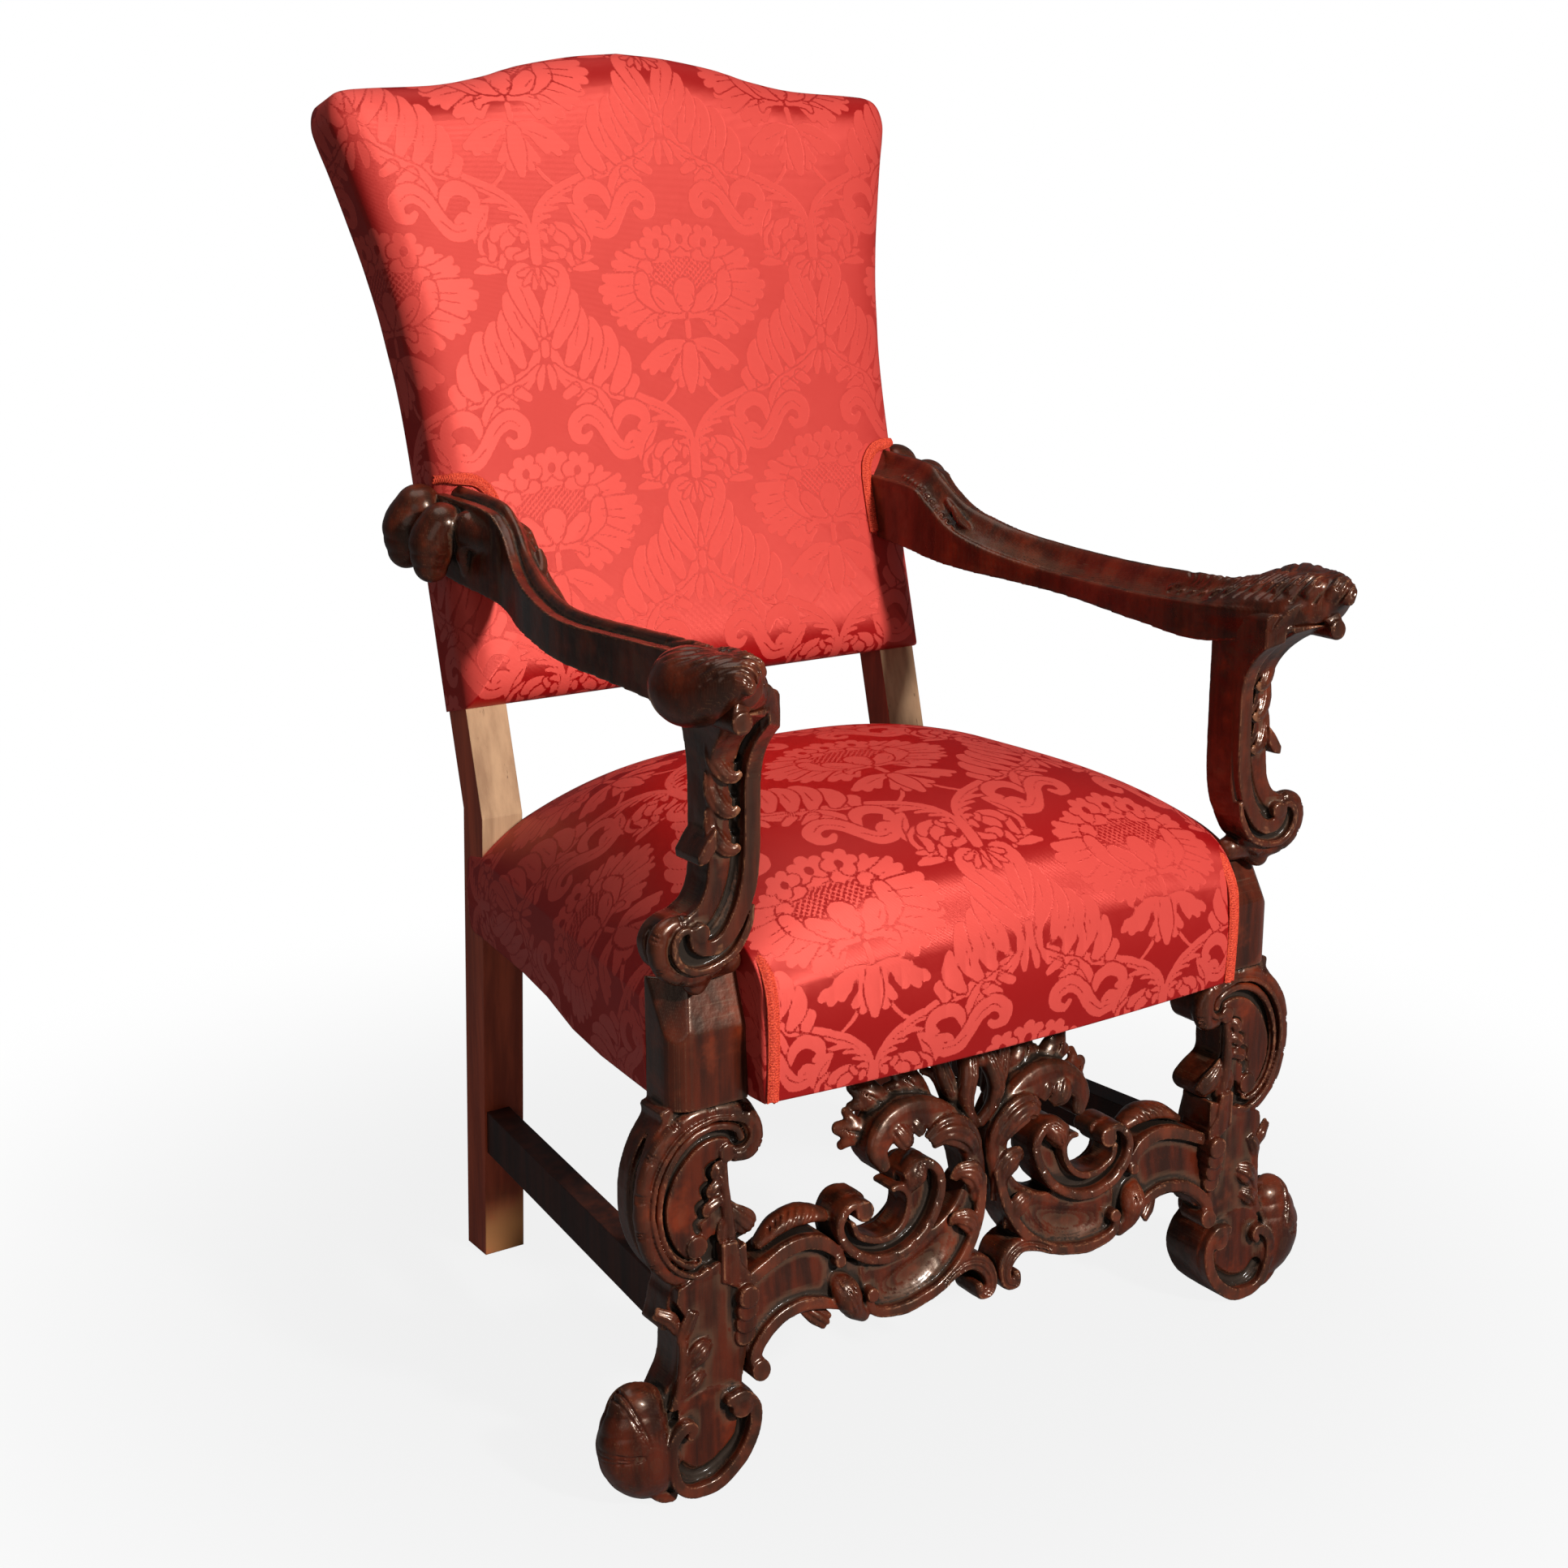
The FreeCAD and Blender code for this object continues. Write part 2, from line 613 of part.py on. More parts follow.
def seat_body(inset, bottom):
    # The upholstered seat as a closed domed pad, its front corners still whole
    edge = Part.Face(seat_wire(inset, bottom, 1.0)).extrude(vec(0, 0, seat_edge - inset - bottom))
    sections = [
        seat_wire(inset, seat_edge - inset, 1.0),
        seat_wire(inset, seat_edge + 0.3 * seat_dome - inset, 0.95),
        seat_wire(inset, seat_edge + 0.72 * seat_dome - inset, 0.74),
        seat_wire(inset, seat_edge + 0.94 * seat_dome - inset, 0.42),
        seat_wire(inset, seat_crown - inset, 0.12)]
    return edge.fuse(Part.makeLoft(sections, True))


def fitted_round_posts(shape, rear_posts):
    # A seat layer with its front corners cut away round the blocks, and cut to the rear posts
    notch = box(block_in - cover_gap, 2 * block_out, -block_out, post_depth + cover_gap, 0, 2 * seat_crown)
    for piece in [notch, mirrored(notch)] + rear_posts:
        shape = shape.cut(piece)
    return shape


def ribbon(points, width):
    # A curved stem of even width along a smooth middle line of (x, z) points, with round ends
    curve = Part.BSplineCurve()
    curve.interpolate([vec(x, stretcher_setback, z) for x, z in points])
    first, last = curve.FirstParameter, curve.LastParameter
    count = 4 * len(points)
    near, far = [], []
    for step in range(count + 1):
        at = first + (last - first) * step / count
        place = curve.value(at)
        heading = curve.tangent(at)[0]
        across = vec(-heading.z, 0, heading.x) * (width / 2)
        near.append(place + across)
        far.append(place - across)
    far.reverse()
    stem = prism([near, [near[-1], far[0]], far, [far[-1], near[0]]], vec(0, stretcher_depth, 0))
    back = stretcher_setback + stretcher_depth
    for x, z in (points[0], points[-1]):
        stem = stem.fuse(disc(x, z, width / 2, stretcher_setback, back))
    return stem


def ring_arc(x, z, radius, width, start, end):
    # A round stem in front view between two angles from the x axis, with a ball on each end
    back = stretcher_setback + stretcher_depth
    sweep = end - start
    base = vec(x, stretcher_setback, z)
    outer = Part.makeCylinder(radius + width / 2, stretcher_depth, base, vec(0, 1, 0), sweep)
    stem = outer.cut(disc(x, z, radius - width / 2, stretcher_setback, back))
    stem.rotate(base, vec(0, 1, 0), -end)
    for angle in (start, end):
        turn = math.radians(angle)
        stem = stem.fuse(disc(x + radius * math.cos(turn), z + radius * math.sin(turn),
                              0.65 * width, stretcher_setback, back))
    return stem


def front_stretcher():
    back = stretcher_setback + stretcher_depth
    ridge = stretcher_high + stretcher_ridge
    heel = stretcher_low - stretcher_heel
    spur = stretcher_low - stretcher_spur
    length = block_in - plank_end
    height = stretcher_high - stretcher_low
    top = rail_bottom - cover_thickness - cover_gap

    def placed(shares):
        return [(across * block_in, up * rail_bottom) for across, up in shares]

    inner_end = (plank_end, stretcher_high - 0.28 * height)
    inner_foot = (plank_end + 0.09 * length, stretcher_low + 0.08 * height)
    spur_tip = (block_in - 0.12 * length, spur)
    plank = front_prism([
        [(block_in, heel), (block_in, stretcher_high)],
        [(block_in, stretcher_high), (block_in - 0.21 * length, ridge - 0.27 * stretcher_ridge),
         (block_in - 0.46 * length, ridge), (block_in - 0.74 * length, ridge - 0.82 * stretcher_ridge),
         inner_end],
        [inner_end, inner_foot],
        [inner_foot, (block_in - 0.47 * length, stretcher_low),
         (block_in - 0.21 * length, stretcher_low - 0.38 * stretcher_spur), spur_tip],
        [spur_tip, (block_in, heel)]], stretcher_setback, back)
    edge = placed(flower_edge) + [(0, top)]
    cup_x, cup_z = placed([cup_share])[0]
    half = plank
    for piece in (
        ribbon(placed(s_scroll_line), scroll_stem), ribbon(placed(drop_stem_line), leaf_width),
        ribbon(placed(top_leaf_line), leaf_width),
        ring_arc(cup_x, cup_z, cup_radius, cup_stem, cup_start, cup_end),
        disc(0.82 * drop_radius, drop_share * rail_bottom, drop_radius, stretcher_setback, back),
        front_prism([edge, [edge[-1], edge[0]]], stretcher_setback, back), stretcher_tenon(),
    ):
        half = half.fuse(piece)
    return both_sides(half)


def side_stretcher(front_post, rear_post):
    start, end = side_bar_line
    bar = plan_bar(along(end, start, tenon_length), along(start, end, tenon_length),
                   side_bar_width, side_bar_low, side_bar_high)
    return bar.cut(front_post).cut(rear_post)


def front_rail():
    ends = front_rail_setback
    half = [
        [(0, ends - front_rail_bow), (block_in / 2, ends - 0.75 * front_rail_bow), (block_in, ends)],
        [(block_in, ends), (block_in, ends + rail_thickness)],
        [(block_in, ends + rail_thickness), (0, ends + rail_thickness)],
        [(0, ends + rail_thickness), (0, ends - front_rail_bow)]]
    rail = plan_prism(half, rail_bottom, cross_rail_top)
    return both_sides(rail.fuse(front_rail_tenon()))


def side_rail(rear_post):
    start, end = side_rail_line
    rail = plan_bar(along(end, start, rail_thickness), along(start, end, rear_leg_depth / 2),
                    rail_thickness, rail_bottom, rail_top)
    front = box(0, 2 * block_out, -2 * post_depth, post_depth, 0, 2 * rail_top)
    return rail.cut(front).cut(rear_post)


def rear_rail():
    rail = box(0, rear_inner, rear_rail_front, rear_rail_back, rail_bottom, cross_rail_top)
    return both_sides(rail.fuse(rear_rail_tenon()))


def corner_block(inner_x, outer_x, y, toward, neighbours):
    # A glue block filling one corner of the seat frame, cut to fit what it is glued to
    low = (rail_bottom + rail_top - corner_block_height) / 2
    points = [(outer_x, y), (inner_x - corner_block_leg, y), (outer_x, y + corner_block_leg * toward)]
    block = plan_prism(polygon(points), low, low + corner_block_height)
    for neighbour in neighbours:
        block = block.cut(neighbour)
    return solid_of(block)


def row(length, pitch):
    # Places spread evenly either side of the middle of a length
    count = max(1, int(length / pitch))
    return [(step - (count - 1) / 2) * length / count for step in range(count)]


def seat_webbing():
    straps = []
    start, end = side_rail_line
    span = rear_rail_front - front_rail_setback - rail_thickness
    middle = front_rail_setback + rail_thickness + span / 2
    for offset in row(span, webbing_pitch):
        y = middle + offset
        share = (y - start[1]) / (end[1] - start[1])
        half = start[0] + share * (end[0] - start[0])
        straps.append(box(-half, half, y - webbing_width / 2, y + webbing_width / 2,
                          rail_top, cross_rail_top))
    front = front_rail_setback + rail_thickness / 2
    back = rear_rail_front + rear_rail_thickness / 2
    for x in row(2 * rear_inner - webbing_width, webbing_pitch):
        straps.append(box(x - webbing_width / 2, x + webbing_width / 2, front, back,
                          cross_rail_top, cross_rail_top + webbing_thickness))
    return Part.makeCompound(straps)


def seat_layer(inset, low, high, posts):
    body = seat_body(inset, rail_bottom)
    reach = 2 * block_out
    return fitted_round_posts(body.common(box(-reach, reach, -reach, 2 * reach, low, high)), posts)


def tack_places():
    places = []
    for x in row(2 * block_in - 2 * cover_hem, tack_pitch):
        bow = front_rail_bow * (1 - (x / block_in) ** 2)
        places.append((x, front_rail_setback - 0.7 * bow + cover_hem / 2))
    for x in row(2 * rear_inner - 2 * cover_hem, tack_pitch):
        places.append((x, rear_rail_back - cover_hem / 2))
    start, end = side_rail_line
    length = end[1] - start[1] - 2 * cover_hem
    for offset in row(length, tack_pitch):
        y = (start[1] + end[1]) / 2 + offset
        share = (y - start[1]) / (end[1] - start[1])
        x = start[0] + share * (end[0] - start[0]) + rail_thickness / 2 - cover_hem / 2
        places.extend([(x, y), (-x, y)])
    return places


def tacks(slack=0.0):
    # Upholstery tacks driven up through the hem into the underside of the rails
    low = rail_bottom - cover_thickness - cover_gap
    shapes = []
    for x, y in tack_places():
        head = Part.makeCylinder(tack_head / 2, tack_head_depth, vec(x, y, low - tack_head_depth))
        shank = Part.makeCylinder(tack_shank / 2 + slack, tack_length + slack, vec(x, y, low))
        shapes.append(shank if slack else head.fuse(shank))
    return Part.makeCompound(shapes)


def seat_cover(posts):
    # A shell stretched over the seat, with its hem turned under the rails
    low = rail_bottom - cover_thickness - cover_gap
    inner = seat_body(cover_thickness, low - post_depth)
    shell = seat_body(0, low).cut(inner)
    hem = seat_body(0, low).common(box(-2 * block_out, 2 * block_out, -block_out, 2 * block_out,
                                       low, low + cover_thickness))
    cover = fitted_round_posts(shell.fuse(hem.cut(seat_body(cover_hem, low - post_depth))), posts)
    return cover.cut(tacks(joint_clearance)).removeSplitter()


def gimp_seat(skin):
    # Braid down the edge of the seat cover beside the right block
    edge = block_in - cover_gap
    band = box(edge - gimp_width, edge, -2 * post_depth, 0, rail_bottom, block_top)
    return skin.common(band)


def back_webbing():
    straps = []
    width = webbing_width / 2
    above_arms = screw_height + webbing_width
    for v in row(crest_bottom - above_arms, 1.5 * webbing_pitch):
        middle = (crest_bottom + above_arms) / 2 + v
        reach = (rear_inner + rear_outer) / 2
        straps.append(box(-reach, reach, -webbing_thickness, 0, middle - width, middle + width))
    for x in row(2 * rear_inner, 1.5 * webbing_pitch):
        straps.append(box(x - width, x + width, -2 * webbing_thickness, -webbing_thickness,
                          lower_rail_height / 2, crest_bottom + lower_rail_height / 2))
    return raked(Part.makeCompound(straps))


def back_layer(near, far, inset):
    reach = 2 * block_out
    slab = raked(box(-reach, reach, near, far, -reach, 2 * reach))
    return back_body(-inset, stile_depth).common(slab)


def lower_back_rail():
    rail = box(0, rear_inner, 0, lower_rail_thickness, 0, lower_rail_height)
    return raked(both_sides(rail.fuse(lower_rail_tenon())))


def gimp_back(skin, arm):
    # Braid round the right arm where it passes through the back's cover
    low = screw_height - gimp_width
    high = (arm_crest - back_bottom) / math.cos(rake)
    edge = rear_inner + arm_stile_inset
    front = -2 * back_pad_depth
    across = box(edge - gimp_width, rear_outer, front, stile_depth, high - gimp_width, high)
    down = box(edge - gimp_width, edge, front, stile_depth, low, high)
    return skin.common(raked(across.fuse(down))).cut(arm)


def build():
    arm_shape = arm_blank()
    rear_shape = rear_post_blank()
    screw = arm_screw()
    screw_hole = arm_screw(joint_clearance)

    arm = arm_shape.cut(rear_shape)
    post = front_leg().fuse(front_block()).fuse(solid_of(arm_support().cut(arm)))
    post = post.fuse(support_tenon()).removeSplitter()
    outer_post = post
    for socket in (front_rail_tenon, side_rail_tenons, side_bar_tenons, stretcher_tenon):
        post = post.cut(socket(joint_clearance))
    arm = arm.cut(support_tenon(joint_clearance)).cut(screw_hole)

    rear = rear_shape.cut(screw_hole)
    for socket in (side_rail_tenons, rear_rail_tenon, side_bar_tenons):
        rear = rear.cut(socket(joint_clearance))
    rear = rear.cut(raked(lower_rail_tenon(joint_clearance))).fuse(raked(crest_tenon()))

    side_bar = side_stretcher(outer_post, rear_shape).fuse(side_bar_tenons().cut(
        box(0, block_out, post_depth, rear_bend_front, 0, rail_bottom)))
    rail_side = side_rail(rear_shape).fuse(side_rail_tenons().cut(
        box(0, block_out, post_depth, rear_bend_front, 0, seat_crown)))
    tack_holes = tacks(joint_clearance)
    rail_front = front_rail().cut(tack_holes)
    rail_rear = rear_rail().cut(tack_holes)
    rail_side = rail_side.removeSplitter().cut(tack_holes)

    start, end = side_rail_line
    front_corner = corner_block(
        block_in, start[0], front_rail_setback + rail_thickness, 1, [outer_post, rail_front, rail_side])
    rear_corner = corner_block(
        rear_inner, end[0], rear_rail_front, -1, [rear_shape, rail_rear, rail_side])

    posts = [rear_shape, mirrored(rear_shape)]
    arms = [arm_shape, mirrored(arm_shape)]
    stuffing_inset = cover_thickness + cover_gap
    seat_hessian = seat_layer(stuffing_inset, hessian_top - hessian_thickness, hessian_top, posts)
    seat_stuffing = seat_layer(stuffing_inset, hessian_top, seat_crown, posts)
    seat_skin = seat_body(-gimp_thickness, rail_bottom).cut(seat_body(0, rail_bottom))
    cover = seat_cover(posts)

    hessian_front = -2 * webbing_thickness
    back_hessian = back_layer(hessian_front - hessian_thickness, hessian_front, stuffing_inset)
    back_stuffing = back_layer(-2 * back_pad_depth, hessian_front - hessian_thickness, stuffing_inset)
    wrap = cover_thickness + cover_gap
    back_cover = back_body(wrap, stile_depth).cut(back_body(cover_gap, 2 * stile_depth))
    outside = raked(Part.Face(back_wire(0, stile_depth, 1.0)).extrude(vec(0, cover_thickness, 0)))
    for piece in arms + posts:
        back_cover = back_cover.cut(piece)
        back_stuffing = back_stuffing.cut(piece)
        back_hessian = back_hessian.cut(piece)
    back_skin = back_body(wrap + gimp_thickness, stile_depth).cut(back_body(wrap, stile_depth))
    back_gimp = gimp_back(back_skin, arm_shape)
    seat_gimp = gimp_seat(seat_skin)

    nodes = {
        "front_stretcher": front_stretcher(),
        "seat_rail_front": rail_front,
        "seat_rail_rear": rail_rear,
        "crest_rail": crest_rail(),
        "lower_back_rail": lower_back_rail(),
        "seat_webbing": seat_webbing(),
        "seat_hessian": seat_hessian,
        "seat_stuffing": seat_stuffing,
        "seat_cover": cover,
        "seat_tacks": tacks(),
        "back_webbing": back_webbing(),
        "back_hessian": back_hessian,
        "back_stuffing": back_stuffing,
        "back_cover": back_cover,
        "outside_back_cover": outside,
        "arm_screws": Part.makeCompound([screw, mirrored(screw)]),
    }
    paired = {
        "front_post": post,
        "rear_post": rear.removeSplitter(),
        "arm": arm,
        "side_stretcher": side_bar.removeSplitter(),
        "seat_rail": rail_side,
        "corner_block_front": front_corner,
        "corner_block_rear": rear_corner,
        "seat_gimp": seat_gimp,
        "arm_gimp": back_gimp,
    }
    for name, shape in paired.items():
        nodes[name + "_right"] = shape
        nodes[name + "_left"] = mirrored(shape)
    return nodes


def write(nodes):
    whole = FreeCAD.BoundBox()
    for shape in nodes.values():
        whole.add(shape.BoundBox)
    os.makedirs("parts", exist_ok=True)
    for name, shape in nodes.items():
        shape.translate(vec(0, -(whole.YMin + whole.YMax) / 2, 0))
        shape.exportStep("parts/" + name + ".step")
        print(name, len(shape.Solids), shape.isValid(), round(shape.Volume / 1000, 1))


write(build())
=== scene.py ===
import math

import bpy
import numpy as np
from mathutils import Matrix, Vector


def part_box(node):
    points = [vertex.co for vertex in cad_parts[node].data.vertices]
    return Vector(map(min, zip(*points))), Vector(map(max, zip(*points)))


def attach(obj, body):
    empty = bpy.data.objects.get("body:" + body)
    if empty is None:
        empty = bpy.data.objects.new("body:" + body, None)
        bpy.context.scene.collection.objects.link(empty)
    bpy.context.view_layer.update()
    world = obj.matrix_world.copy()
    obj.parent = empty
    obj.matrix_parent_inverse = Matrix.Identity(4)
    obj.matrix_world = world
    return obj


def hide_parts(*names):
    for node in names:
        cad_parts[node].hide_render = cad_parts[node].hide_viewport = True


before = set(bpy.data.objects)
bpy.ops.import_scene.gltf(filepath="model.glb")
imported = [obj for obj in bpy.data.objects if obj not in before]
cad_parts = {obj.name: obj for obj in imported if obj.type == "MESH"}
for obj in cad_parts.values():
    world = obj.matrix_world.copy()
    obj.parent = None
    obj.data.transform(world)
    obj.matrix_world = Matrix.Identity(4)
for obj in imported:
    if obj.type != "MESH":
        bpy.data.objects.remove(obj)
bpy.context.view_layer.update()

# Shapes are worked out in millimetres with y = 0 on the front faces of the front posts
millimetre = 0.001
supportSweep = 66.0
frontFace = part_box("front_post_right")[0].y / millimetre + supportSweep
far = 40.0
everywhere = np.s_[:, :, :]
wornReach, deepReach = 2.6, 9.0
random = np.random.default_rng(7)


def placed(points):
    return (np.asarray(points, float) + (0.0, frontFace, 0.0)) * millimetre


def smoothLine(points, spacing=2.5):
    # A line through the points with no corners, sampled evenly, with every column carried along
    p = np.array(points, float)
    q = np.vstack([2 * p[0] - p[1], p, 2 * p[-1] - p[-2]])
    runs = []
    for i in range(len(p) - 1):
        count = max(2, int(np.linalg.norm(p[i + 1, :2] - p[i, :2]) / spacing) + 1)
        t = np.linspace(0, 1, count, endpoint=False)[:, None]
        a, b, c, d = q[i:i + 4]
        runs.append(b + 0.5 * t * (c - a + t * (2 * a - 5 * b + 4 * c - d + t * (3 * (b - c) + d - a))))
    runs.append(p[-1:])
    return np.vstack(runs)


def closed(outline):
    return smoothLine(outline + outline[:1])[:-1]


def beside(line, offset):
    # A line parallel to one of (x, z, ...) points, to its left
    line = np.asarray(line, float).copy()
    run = np.gradient(line[:, :2], axis=0)
    run /= np.linalg.norm(run, axis=1)[:, None] + 1e-9
    offset = np.broadcast_to(offset, len(line))
    line[:, 0] -= run[:, 1] * offset
    line[:, 1] += run[:, 0] * offset
    return line


def smoothMin(a, b, soft):
    if soft <= 0:
        return np.minimum(a, b)
    h = np.clip(0.5 + 0.5 * (b - a) / soft, 0, 1)
    return b + (a - b) * h - soft * h * (1 - h)


def polygonDistance(outline, u, v):
    # Signed distance in the plane, negative inside
    best = np.full((len(u), len(v)), 1e9, np.float32)
    inside = np.zeros(best.shape, bool)
    pu, pv = u[:, None], v[None, :]
    for (ax, ay), (bx, by) in zip(outline, np.roll(outline, -1, 0)):
        ex, ey = bx - ax, by - ay
        t = np.clip(((pu - ax) * ex + (pv - ay) * ey) / (ex * ex + ey * ey + 1e-9), 0, 1)
        best = np.minimum(best, (pu - ax - t * ex) ** 2 + (pv - ay - t * ey) ** 2)
        if by != ay:
            inside ^= ((ay > pv) != (by > pv)) & (pu < ex * (pv - ay) / ey + ax)
    return np.where(inside, -np.sqrt(best), np.sqrt(best))


def rounded(along, across, edge):
    # What two distances have in common, with the edge between them rounded off
    along, across = along + edge, across + edge
    shape = np.minimum(np.maximum(along, across), 0)
    return (shape + np.hypot(np.maximum(along, 0), np.maximum(across, 0)) - edge).astype(np.float32)


class Carving:
    # A solid as a field of distances on a grid: forms are joined to it and gouged out of it
    def __init__(self, low, high, step):
        self.low = np.array(low, float)
        self.step = step
        self.count = np.ceil((np.array(high) - self.low) / step).astype(int) + 1
        self.axes = [(self.low[a] + step * np.arange(self.count[a])).astype(np.float32) for a in range(3)]
        self.field = np.full(self.count, far, np.float32)

    def window(self, low, high):
        first = np.clip(np.floor((np.asarray(low) - self.low) / self.step).astype(int), 0, self.count)
        last = np.clip(np.ceil((np.asarray(high) - self.low) / self.step).astype(int) + 1, 0, self.count)
        where = tuple(slice(a, b) for a, b in zip(first, last))
        x, y, z = (self.axes[a][where[a]] for a in range(3))
        return where, (x[:, None, None], y[None, :, None], z[None, None, :])

    def put(self, where, shape, soft, cut=False):
        old = self.field[where]
        self.field[where] = -smoothMin(-old, shape, soft) if cut else smoothMin(old, shape, soft)

    def stroke(self, points, soft=1.5, cut=False, squash=1.0):
        # A round stroke through (x, y, z, radius) points, flattened front to back by squash
        line = smoothLine(points) if len(points) > 1 else np.array(list(points) * 2, float)
        reach = line[:, 3].max() * np.array((1, max(squash, 1.0), 1)) + soft + 3 * self.step
        where, _ = self.window((line[:, :3] - reach).min(0), (line[:, :3] + reach).max(0))
        scratch = np.full(self.field[where].shape, far, np.float32)
        offset = [part.start for part in where]
        for a, b in zip(line, line[1:]):
            part, (x, y, z) = self.window(np.minimum(a, b)[:3] - reach, np.maximum(a, b)[:3] + reach)
            ex, ey, ez = b[:3] - a[:3]
            ey /= squash
            px, py, pz = x - a[0], (y - a[1]) / squash, z - a[2]
            t = np.clip((px * ex + py * ey + pz * ez) / (ex * ex + ey * ey + ez * ez + 1e-9), 0, 1)
            away = np.sqrt((px - t * ex) ** 2 + (py - t * ey) ** 2 + (pz - t * ez) ** 2)
            local = tuple(slice(s.start - o, s.stop - o) for s, o in zip(part, offset))
            scratch[local] = np.minimum(scratch[local], away - a[3] - t * (b[3] - a[3]))
        self.put(where, scratch, soft, cut)

    def cord(self, line, depth, radius=None, soft=1.0, cut=False):
        # A stroke along (x, z, radius) points, or (x, z), all at one depth
        self.stroke([(p[0], depth, p[1], radius or p[2]) for p in line], soft, cut)

    def disc(self, x, z, radius, front, back=30.0, edge=1.2):
        # A flat round boss
        away = np.hypot(self.axes[0][:, None] - x, self.axes[2][None, :] - z) - radius
        self.extrude(away, front, back, edge, 0.5)

    def leaf(self, points, ribs=3, soft=0.7):
        # A leaf along (x, y, z, half width) points, of ribs side by side
        line = smoothLine(points, 4.0)
        for share in np.linspace(-1, 1, ribs):
            aside = beside(line[:, [0, 2]], share * (1 - 1 / ribs) * line[:, 3])
            depth = line[:, 1] + 0.3 * share * share * line[:, 3]
            rib = np.column_stack([aside[:, 0], depth, aside[:, 1], 1.3 * line[:, 3] / ribs])
            self.stroke(rib.tolist(), soft)

    def surface(self, start, heading, reach=60.0):
        # The last solid point on the way out from start
        away = np.arange(0, reach, 0.4)[:, None]
        places = np.asarray(start, float) + away * np.asarray(heading, float)
        cells = np.clip(np.rint((places - self.low) / self.step).astype(int), 0, self.count - 1)
        solid = np.flatnonzero(self.field[tuple(cells.T)] < 0)
        return places[solid[-1] if len(solid) else 0]

    def roughen(self, marks):
        # The unevenness of hand work: smooth random waves, each of about a length and a height
        for wave, height in marks:
            size = np.ceil(self.count * self.step / wave).astype(int) + 2
            coarse = random.standard_normal(size).astype(np.float32)
            for axis in range(3):
                at = np.arange(self.count[axis]) * self.step / wave
                low = at.astype(int)
                share = (at - low).astype(np.float32)
                share = share * share * (3 - 2 * share)
                share = share.reshape([-1 if a == axis else 1 for a in range(3)])
                coarse = np.take(coarse, low, axis) * (1 - share) + np.take(coarse, low + 1, axis) * share
            self.field += height * coarse

    def veins(self, points, shifts):
        # Fine cuts side by side along (x, y, z, radius) points
        for shift in shifts:
            self.stroke([(x + shift, y, z, r) for x, y, z, r in points], 0.6, True)

    def ticks(self, roll, depth, places, shifts, bend):
        # Small cuts over a roll of (x, z, radius) points, from its face to its outer side
        line = smoothLine(roll)
        sides = beside(line, line[:, 2])
        first, last, every = places
        for at in range(first, len(line) - last, every):
            for (x, z, r), (u, v, _) in ((line[at + shift], sides[at + shift]) for shift in shifts):
                self.stroke([(x, depth - r, z, 0.7), (0.5 * (x + u), depth - bend * r, 0.5 * (z + v), 0.9),
                             (u, depth, v, 0.9)], 0.4, True)

    def extrude(self, flat, start, end, edge, soft):
        # A front-view shape, given as its distance over the grid's x and z, from start back to end
        y = self.axes[1][None, :, None]
        start = np.asarray(start, np.float32)
        start = start[:, None, :] if start.ndim == 2 else start
        self.put(everywhere, rounded(np.maximum(start - y, y - end), flat[:, None, :], edge), soft)

    def slab(self, outline, start, end, edge=1.5, soft=0.0):
        flat = polygonDistance(outline, self.axes[0], self.axes[2])
        self.extrude(flat, start, end, edge, soft)

    def ribbon(self, line, start, end, edge=1.5, soft=0.0, crown=0.0):
        # A band along (x, z, half width) points, or (x, z, half width, front); crown rounds its face
        line = smoothLine(line)
        x, z = self.axes[0][:, None], self.axes[2][None, :]
        flat = np.full((len(self.axes[0]), len(self.axes[2])), far, np.float32)
        front = np.full(flat.shape, start, np.float32)
        half = np.ones_like(flat)
        for a, b in zip(line, line[1:]):
            ex, ez = b[:2] - a[:2]
            t = np.clip(((x - a[0]) * ex + (z - a[1]) * ez) / (ex * ex + ez * ez + 1e-9), 0, 1)
            width = a[2] + t * (b[2] - a[2])
            away = np.hypot(x - a[0] - t * ex, z - a[1] - t * ez) - width
            nearer = away < flat
            flat = np.where(nearer, away, flat)
            half = np.where(nearer, width, half)
            if len(a) > 3:
                front = np.where(nearer, a[3] + t * (b[3] - a[3]), front)
        if crown:
            front = front + crown * np.clip(1 + flat / half, 0, 1.2) ** 2
        self.extrude(flat, front, end, edge, soft)

    def column(self, outline, low, high, edge):
        # A plan outline of (x, y) points, standing from low to high
        flat = polygonDistance(outline, self.axes[0], self.axes[1])[:, :, None]
        z = self.axes[2][None, None, :]
        self.put(everywhere, rounded(np.maximum(low - z, z - high), flat, edge), 0)

    def pare(self, point, normal, soft=0.0):
        # Takes off everything on the far side of a plane
        normal = np.array(normal, float) / np.linalg.norm(normal)
        x, y, z = (axis - at for axis, at in zip(self.axes, point))
        shape = -(x[:, None, None] * normal[0] + y[None, :, None] * normal[1] + z[None, None, :] * normal[2])
        self.put(everywhere, shape.astype(np.float32), soft, True)

    def mirrored(self):
        # The whole of a piece carved as its right half, from x = 0
        whole = Carving((-self.axes[0][-1], *self.low[1:]), [axis[-1] for axis in self.axes], self.step)
        whole.field = np.concatenate([self.field[:0:-1], self.field])
        whole.count = np.array(whole.field.shape)
        return whole

    def blurred(self, reach):
        full = np.clip(0.5 - self.field / self.step, 0, 1)
        for axis in range(3):
            width = [(0, 0)] * 3
            width[axis] = (reach + 1, reach)
            total = np.cumsum(np.pad(full, width), axis, dtype=np.float32)
            high = np.take(total, np.arange(2 * reach + 1, total.shape[axis]), axis)
            low = np.take(total, np.arange(0, total.shape[axis] - 2 * reach - 1), axis)
            full = (high - low) / (2 * reach + 1)
        return full

    def mesh(self):
